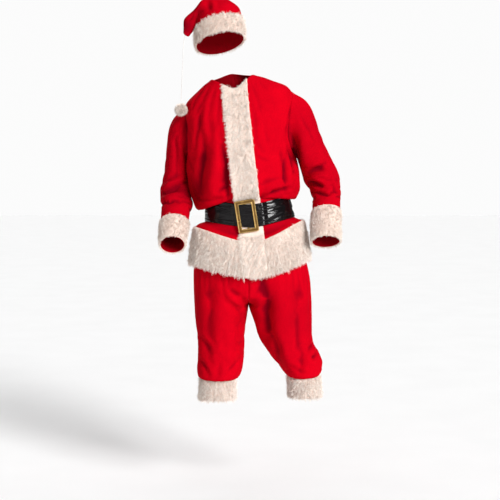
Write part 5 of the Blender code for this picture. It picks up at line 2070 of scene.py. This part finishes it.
# ------------ trousers
@dataclass
class Trousers(Garment):
    """The trousers: a waistband inside the jacket, four panels and the fur at the knees."""

    waistband_thickness: float = 0.0025
    band_rows: int = 7
    waist_rows: tuple = (0.5, 2.0)     # the rows over which the cloth comes free at the waist
    gather_rows: tuple = (-0.6, 0.4)   # and over which the gathers at the knee take hold of it
    knee_pile: float = 1.10            # length of the fur at the knees
    knee_comb: float = -0.8            # and how it lies along Z
    settle: Settle = Settle()

    PANELS = {
        "trouser_left_front": Panel(Cut(0.43, 0.74, 0.219, "trouser_waistband"), Rim.SEAM, Rim.HEM),
        "trouser_left_back": Panel(Cut(0.40, 0.74, 0.213, "trouser_waistband"), Rim.SEAM, Rim.HEM),
        "trouser_right_front": Panel(Cut(0.375, 0.74, 0.204, "trouser_waistband"), Rim.SEAM, Rim.HEM),
        "trouser_right_back": Panel(Cut(0.365, 0.74, 0.2035, "trouser_waistband"), Rim.SEAM, Rim.HEM),
    }
    CUFFS = {Side.LEFT: Cut(0.083, 0.420, 0.0328, "trouser_left_front"),
             Side.RIGHT: Cut(0.084, 0.437, 0.0352, "trouser_right_front")}
    WAISTBAND = Cut(0.047, 0.901, 0.0390, "belt_strap")

    def __post_init__(self) -> None:
        """Builds the form from the jacket's belt line down, presses its folds and lets it settle."""
        low = float(JACKET.row("belt_low"))
        band = np.linspace(low, low + 0.5, self.band_rows)
        rings = [jacket_ring(t, WEAVE.placket, WEAVE.side, WEAVE.back, Jacket.placket_width) for t in band]
        self.band = Form({"band": np.array(rings)}, {"band": True})
        self.skin = -(CLOTH + GAP)
        ring, outward = (values[0] for values in self.band.surface("band"))
        lowest = ring + outward * self.skin - np.array((0, 0, GAP))
        front, back, total = WEAVE.placket + WEAVE.side, WEAVE.back, len(ring)
        around = np.concatenate([np.arange(total), [0]])
        waist = {(Side.LEFT, Face.FRONT): around[:front + 1],
                 (Side.LEFT, Face.BACK): around[front:front + back + 1][::-1],
                 (Side.RIGHT, Face.BACK): around[front + back:total - front + 1],
                 (Side.RIGHT, Face.FRONT): around[total - front:][::-1]}
        self.places = stations([LEGS[side] for side in Side], "waist", "cuff_edge",
                               "front_z back_z inner_x side_x front_y back_y", ROW_STEP)
        grids, self.waist_normals = {}, {}
        for (side, face), numbers in waist.items():
            count = front if face == Face.FRONT else back
            start = lowest[numbers]
            shift = start - leg_row(side, 0, face, count)
            rows = [start] + [leg_row(side, t, face, count) + shift * max(0.0, 1 - t) ** 2
                              for t in self.places[1:]]
            name = f"trouser_{side.name.lower()}_{face.name.lower()}"
            flip = slice(None, None, -1) if side * face < 0 else slice(None)
            grids[name] = np.array(rows)[:, flip]
            self.waist_normals[name] = outward[numbers][flip]
        self.form = Form(grids, dict.fromkeys(grids, False))
        self._shape()

    def _shape(self) -> None:
        """Presses the folds and settles the cloth, held at the waist and the knee cuffs."""
        places = np.array(self.places)
        end = LEGS[Side.LEFT].row("gather")
        before, after = self.gather_rows
        free = smooth(*self.waist_rows, places) * (1 - smooth(end + before, end + after, places))
        hold = hold_of(self.form, dict.fromkeys(self.PANELS, free))
        for face in Face:
            names = [name for name in self.PANELS if face.name.lower() in name]
            self.form.press(names, LEG_FOLDS[face], face, hold)
        self.form.crumple(hold, 2.0)
        self.settle.run("trousers", self.form, hold)
        # painted shade in the hollows of the folds and at the listed places
        self.form.shade(list(self.PANELS), SHADES["leg"])

    def dress(self, finishes: Finishes) -> None:
        """Makes the waistband, the panels and the fur.

        Args:
            finishes: The suit's materials.
        """
        band = shell("trouser_waistband_cloth", *self.band.surface("band"),
                     self.skin - self.waistband_thickness, self.skin, True, finishes.velour)
        declare("trouser_waistband", "velour", band)
        self.WAISTBAND.declare(band, "stretched", [])
        for name, panel in self.PANELS.items():
            panel.make(name, self.form, False, finishes.velour, top=self.waist_normals[name])
        trim = Trim(finishes.fur)
        below = slice(self.places.index(float(LEGS[Side.LEFT].row("cuff_top"))), None)
        for side in Side:
            word = side.name.lower()
            halves = [self.form.surface(f"trouser_{word}_{face}", below, slice(-1))
                      for face in ("front", "back")]
            grid, normals = (np.concatenate(both, axis=1) for both in zip(*halves))
            trim.make("trouser_cuff_fur_" + word, grid, normals, True, np.array((0, 0, self.knee_comb)),
                      self.CUFFS[side], self.knee_pile)


# ------------ hat
@dataclass
class Hat(Garment):
    """The hat: a crown folded over to the wearer's right, its band of fur, a string and a pompom."""

    tip: tuple = ((0.0030, 0.94), (0.0055, 0.78), (0.0073, 0.50), (0.0080, 0.20))
    flap_hold: float = 0.8             # how firmly the flap keeps its shape
    flap_rows: tuple = (7.5, 9.5)      # and between which rows it takes hold
    band_pile: float = 0.95
    band_comb: tuple = (-0.8, 0.7)     # how the fur lies at the band's lower and upper edge, along Z
    string_length: float = 0.262
    string_radius: float = 0.0011
    string_points: int = 60
    string_step: float = 0.0007
    string_sides: int = 12
    lobes: int = 3
    groove: float = 0.22               # how deep the grooves are between the string's strands
    twist: float = 0.0052              # length of one turn of the string's strands
    pompom_radius: float = 0.0265
    pompom_core: float = 0.0145
    pompom_cover: float = 1.15         # how much larger the core is than where the tufts start
    pompom_comb: float = 0.3           # how far the tufts are combed outwards
    pompom_uneven: tuple = (1.7, 0.25)    # scale of the tufts' uneven length, and its share

    CROWN = Panel(Cut(0.614, 0.428, 0.114, NECK), Rim.HEM, Rim.CUT)
    BAND = Cut(0.067, 0.631, 0.0390, "hat_crown")

    def __post_init__(self) -> None:
        """Builds the crown's form and presses its folds."""
        self.places = stations([HAT], "rim", "tip", "near_x near_z far_x far_z half_depth", ROW_STEP)
        rings = [hat_ring(t, WEAVE.hat) for t in self.places]
        middle, before = rings[-1].mean(axis=0), rings[-3].mean(axis=0)
        onward = unit(middle - before)
        rings += [middle + onward * step + (rings[-1] - middle) * share for step, share in self.tip]
        self.form = Form({"hat_crown": np.array(rings)}, {"hat_crown": True})
        places = np.array(self.places + [self.places[-1]] * len(self.tip))
        free = smooth(HAT.row("band_top"), HAT.row("dome"), places)
        flap = 1 - self.flap_hold * smooth(*self.flap_rows, places)
        hold = hold_of(self.form, {"hat_crown": free * flap})
        for face in Face:
            self.form.press(["hat_crown"], HAT_FOLDS[face], face, hold)
        self.form.swell(["hat_crown"], SWELLS["hat"], hold)
        self.form.crumple(hold, 3.0)
        # painted shade in the hollows of the folds and at the listed places
        self.form.shade(["hat_crown"], SHADES["hat"])

    def dress(self, finishes: Finishes) -> None:
        """Makes the crown, the band, the string and the pompom.

        Args:
            finishes: The suit's materials.
        """
        self.CROWN.make("hat_crown", self.form, True, finishes.velour, cap=True)
        count = self.places.index(float(HAT.row("band_top")))
        grid, normals = self.form.surface("hat_crown", slice(count))
        comb = np.zeros(grid.shape)
        comb[..., 2] = np.linspace(*self.band_comb, count)[:, None]
        Trim(finishes.fur).make("hat_band_fur", grid, normals, True, comb, self.BAND, self.band_pile)
        self._string(finishes.cord, self._pompom(finishes.fur))

    def _pompom(self, fur: FurMaker) -> list[Piece]:
        """A ball of wool tufts round a small core.

        Args:
            fur: What grows the tufts.

        Returns:
            The core and the tufts.
        """
        end = STRING.at(len(STRING.names) - 1)
        centre = np.array((end.x, end.y, end.z - GAP - self.pompom_radius))
        work = bmesh.new()
        bmesh.ops.create_icosphere(work, subdivisions=3, radius=1.0)
        ball = np.array([vertex.co for vertex in work.verts])
        faces = [[vertex.index for vertex in face.verts] for face in work.faces]
        work.free()
        # the core has no "along" attribute, so it takes the fur's root colour, painted shade inside the
        # ball
        core_mesh = new_mesh("hat_pompom_core", centre + ball * self.pompom_core * self.pompom_cover, faces)
        core = new_object("hat_pompom_core", core_mesh, fur.material)
        scale, share = self.pompom_uneven
        length = 1.0 + noise_at(ball, scale, 1.0)[:, 0] * share
        wool = fur.grow("hat_pompom_wool", centre + ball * self.pompom_core, faces,
                        ball * self.pompom_comb, length, WOOL)
        declare("hat_pompom", "fur", core, wool)
        return [core, wool]

    def _string(self, material: Material, pompom: list[Piece]) -> None:
        """A twisted string from the hat's tip down to the pompom.

        Args:
            material: The string's finish.
            pompom: The pieces at its end.
        """
        last = len(STRING.names) - 1
        route = [STRING.at(i / (self.string_points - 1) * last) for i in range(self.string_points)]
        path = np.array([(place.x, place.y, place.z) for place in route])
        travel = np.concatenate([[0.0], np.cumsum(np.linalg.norm(np.diff(path, axis=0), axis=1))])
        count = int(travel[-1] / self.string_step)
        along = np.linspace(0, travel[-1], count)
        line = np.stack([np.interp(along, travel, path[:, axis]) for axis in range(3)], -1)
        tangent = unit(np.gradient(line, axis=0))
        first = unit(np.cross(tangent, np.array((0.0, 1.0, 0.0))))
        second = np.cross(tangent, first)
        around = 2 * math.pi * np.arange(self.string_sides) / self.string_sides
        turn = around[None] + 2 * math.pi * along[:, None] / self.twist
        lobe = np.broadcast_to(np.abs(np.cos(self.lobes / 2 * around)), turn.shape)
        radius = self.string_radius * (1 - self.groove * (1 - lobe))
        ring = (line[:, None] + first[:, None] * (np.cos(turn) * radius)[..., None]
                + second[:, None] * (np.sin(turn) * radius)[..., None])
        faces = tube_faces(np.arange(turn.size).reshape(turn.shape))
        mesh = new_mesh("hat_string_cord", ring.reshape(-1, 3), faces, {"lobe": lobe.reshape(-1)})
        turn_out(mesh)
        cord = new_object("hat_string_cord", mesh, material)
        declare("hat_string", "string", cord)


# ------------ studio
@dataclass(frozen=True)
class Studio:
    """The camera, the pale floor and soft lights."""

    floor_z: float = -1.612
    floor_half: float = 30.0
    camera: tuple = (0.07265, -4.5, -0.362)
    aim: tuple = (0.07265, 0.0, -0.65725)
    lens: float = 84.337
    sensor: float = 36.0
    # name, where it comes from, strength, spread in degrees
    suns: tuple = (("key", (0.55, -0.74, 0.42), 3.4, 22.0),
                   ("fill", (-0.40, -0.90, 0.10), 0.22, 60.0),
                   ("top", (0.0, 0.1, 1.0), 0.9, 80.0),
                   ("back", (-0.20, 0.92, 0.35), 1.25, 40.0))
    strip_place: tuple = (6.78, -16.4, 3.37)     # a narrow lamp far off that draws the gloss of the belt
    strip_size: tuple = (11.0, 0.48)
    strip_power: float = 480.0
    backdrop: float = 0.97           # how bright the backdrop looks
    ambient: float = 0.12            # how much light comes from all round

    def set_up(self) -> None:
        """Adds them to the scene."""
        scene = bpy.context.scene
        scene.view_settings.view_transform = "Standard"
        scene.world = self._world()
        data = bpy.data.cameras.new("camera")
        data.lens = self.lens
        data.sensor_width = self.sensor
        from_aim = Vector(self.camera) - Vector(self.aim)
        scene.camera = self._place(data, from_aim, self.camera)
        for name, source, strength, spread in self.suns:
            lamp = bpy.data.lights.new(name, "SUN")
            lamp.energy = strength
            lamp.angle = math.radians(spread)
            self._place(lamp, Vector(source))
        strip = bpy.data.lights.new("strip", "AREA")
        strip.shape = "RECTANGLE"
        strip.size, strip.size_y = self.strip_size
        strip.energy = self.strip_power
        self._place(strip, Vector(self.strip_place) - Vector(self.aim), self.strip_place)
        signs = np.array([(-1, -1), (1, -1), (1, 1), (-1, 1)])
        points = np.column_stack([signs * self.floor_half, np.full(4, self.floor_z)])
        new_object("floor", new_mesh("floor", points, [(0, 1, 2, 3)]), Floor().material())

    def _world(self) -> bpy.types.World:
        """A plain backdrop that looks brighter than the light it gives."""
        world = bpy.data.worlds.new("studio")
        world.use_nodes = True
        nodes = Nodes(world.node_tree)
        seen = nodes.add("ShaderNodeLightPath").outputs["Is Camera Ray"]
        strength = nodes.ramp(seen, 0.0, 1.0, self.ambient, self.backdrop)
        background = world.node_tree.nodes["Background"]
        background.inputs["Color"].default_value = (1, 1, 1, 1)
        world.node_tree.links.new(strength, background.inputs["Strength"])
        return world

    @staticmethod
    def _place(data: bpy.types.ID, source: Vector, place: tuple = (0, 0, 0)) -> Piece:
        """Puts a lamp or the camera in the scene.

        Args:
            data: The lamp or the camera.
            source: The direction that its back points in.
            place: Where it stands.

        Returns:
            Its object.
        """
        made = bpy.data.objects.new(data.name, data)
        made.location = place
        made.rotation_euler = source.to_track_quat("Z", "Y").to_euler()
        bpy.context.scene.collection.objects.link(made)
        return made


def corners(box: tuple) -> list[list[float]]:
    """A box's two corners as plain lists."""
    return [[float(value) for value in corner] for corner in box]


def main() -> None:
    """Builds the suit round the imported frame."""
    logging.basicConfig(level=logging.INFO, format="%(message)s")
    noise.seed_set(NOISE_SEED)
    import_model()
    finishes = Finishes(Velour().material(), Vinyl().material(), Brass().material(), Twist().material(),
                        FurMaker(Fur().material()))
    Studio().set_up()
    for garment in (Jacket, Belt, Trousers, Hat):
        garment().dress(finishes)
        log.info("%s made", garment.__name__.lower())


if __name__ == "__main__":
    main()
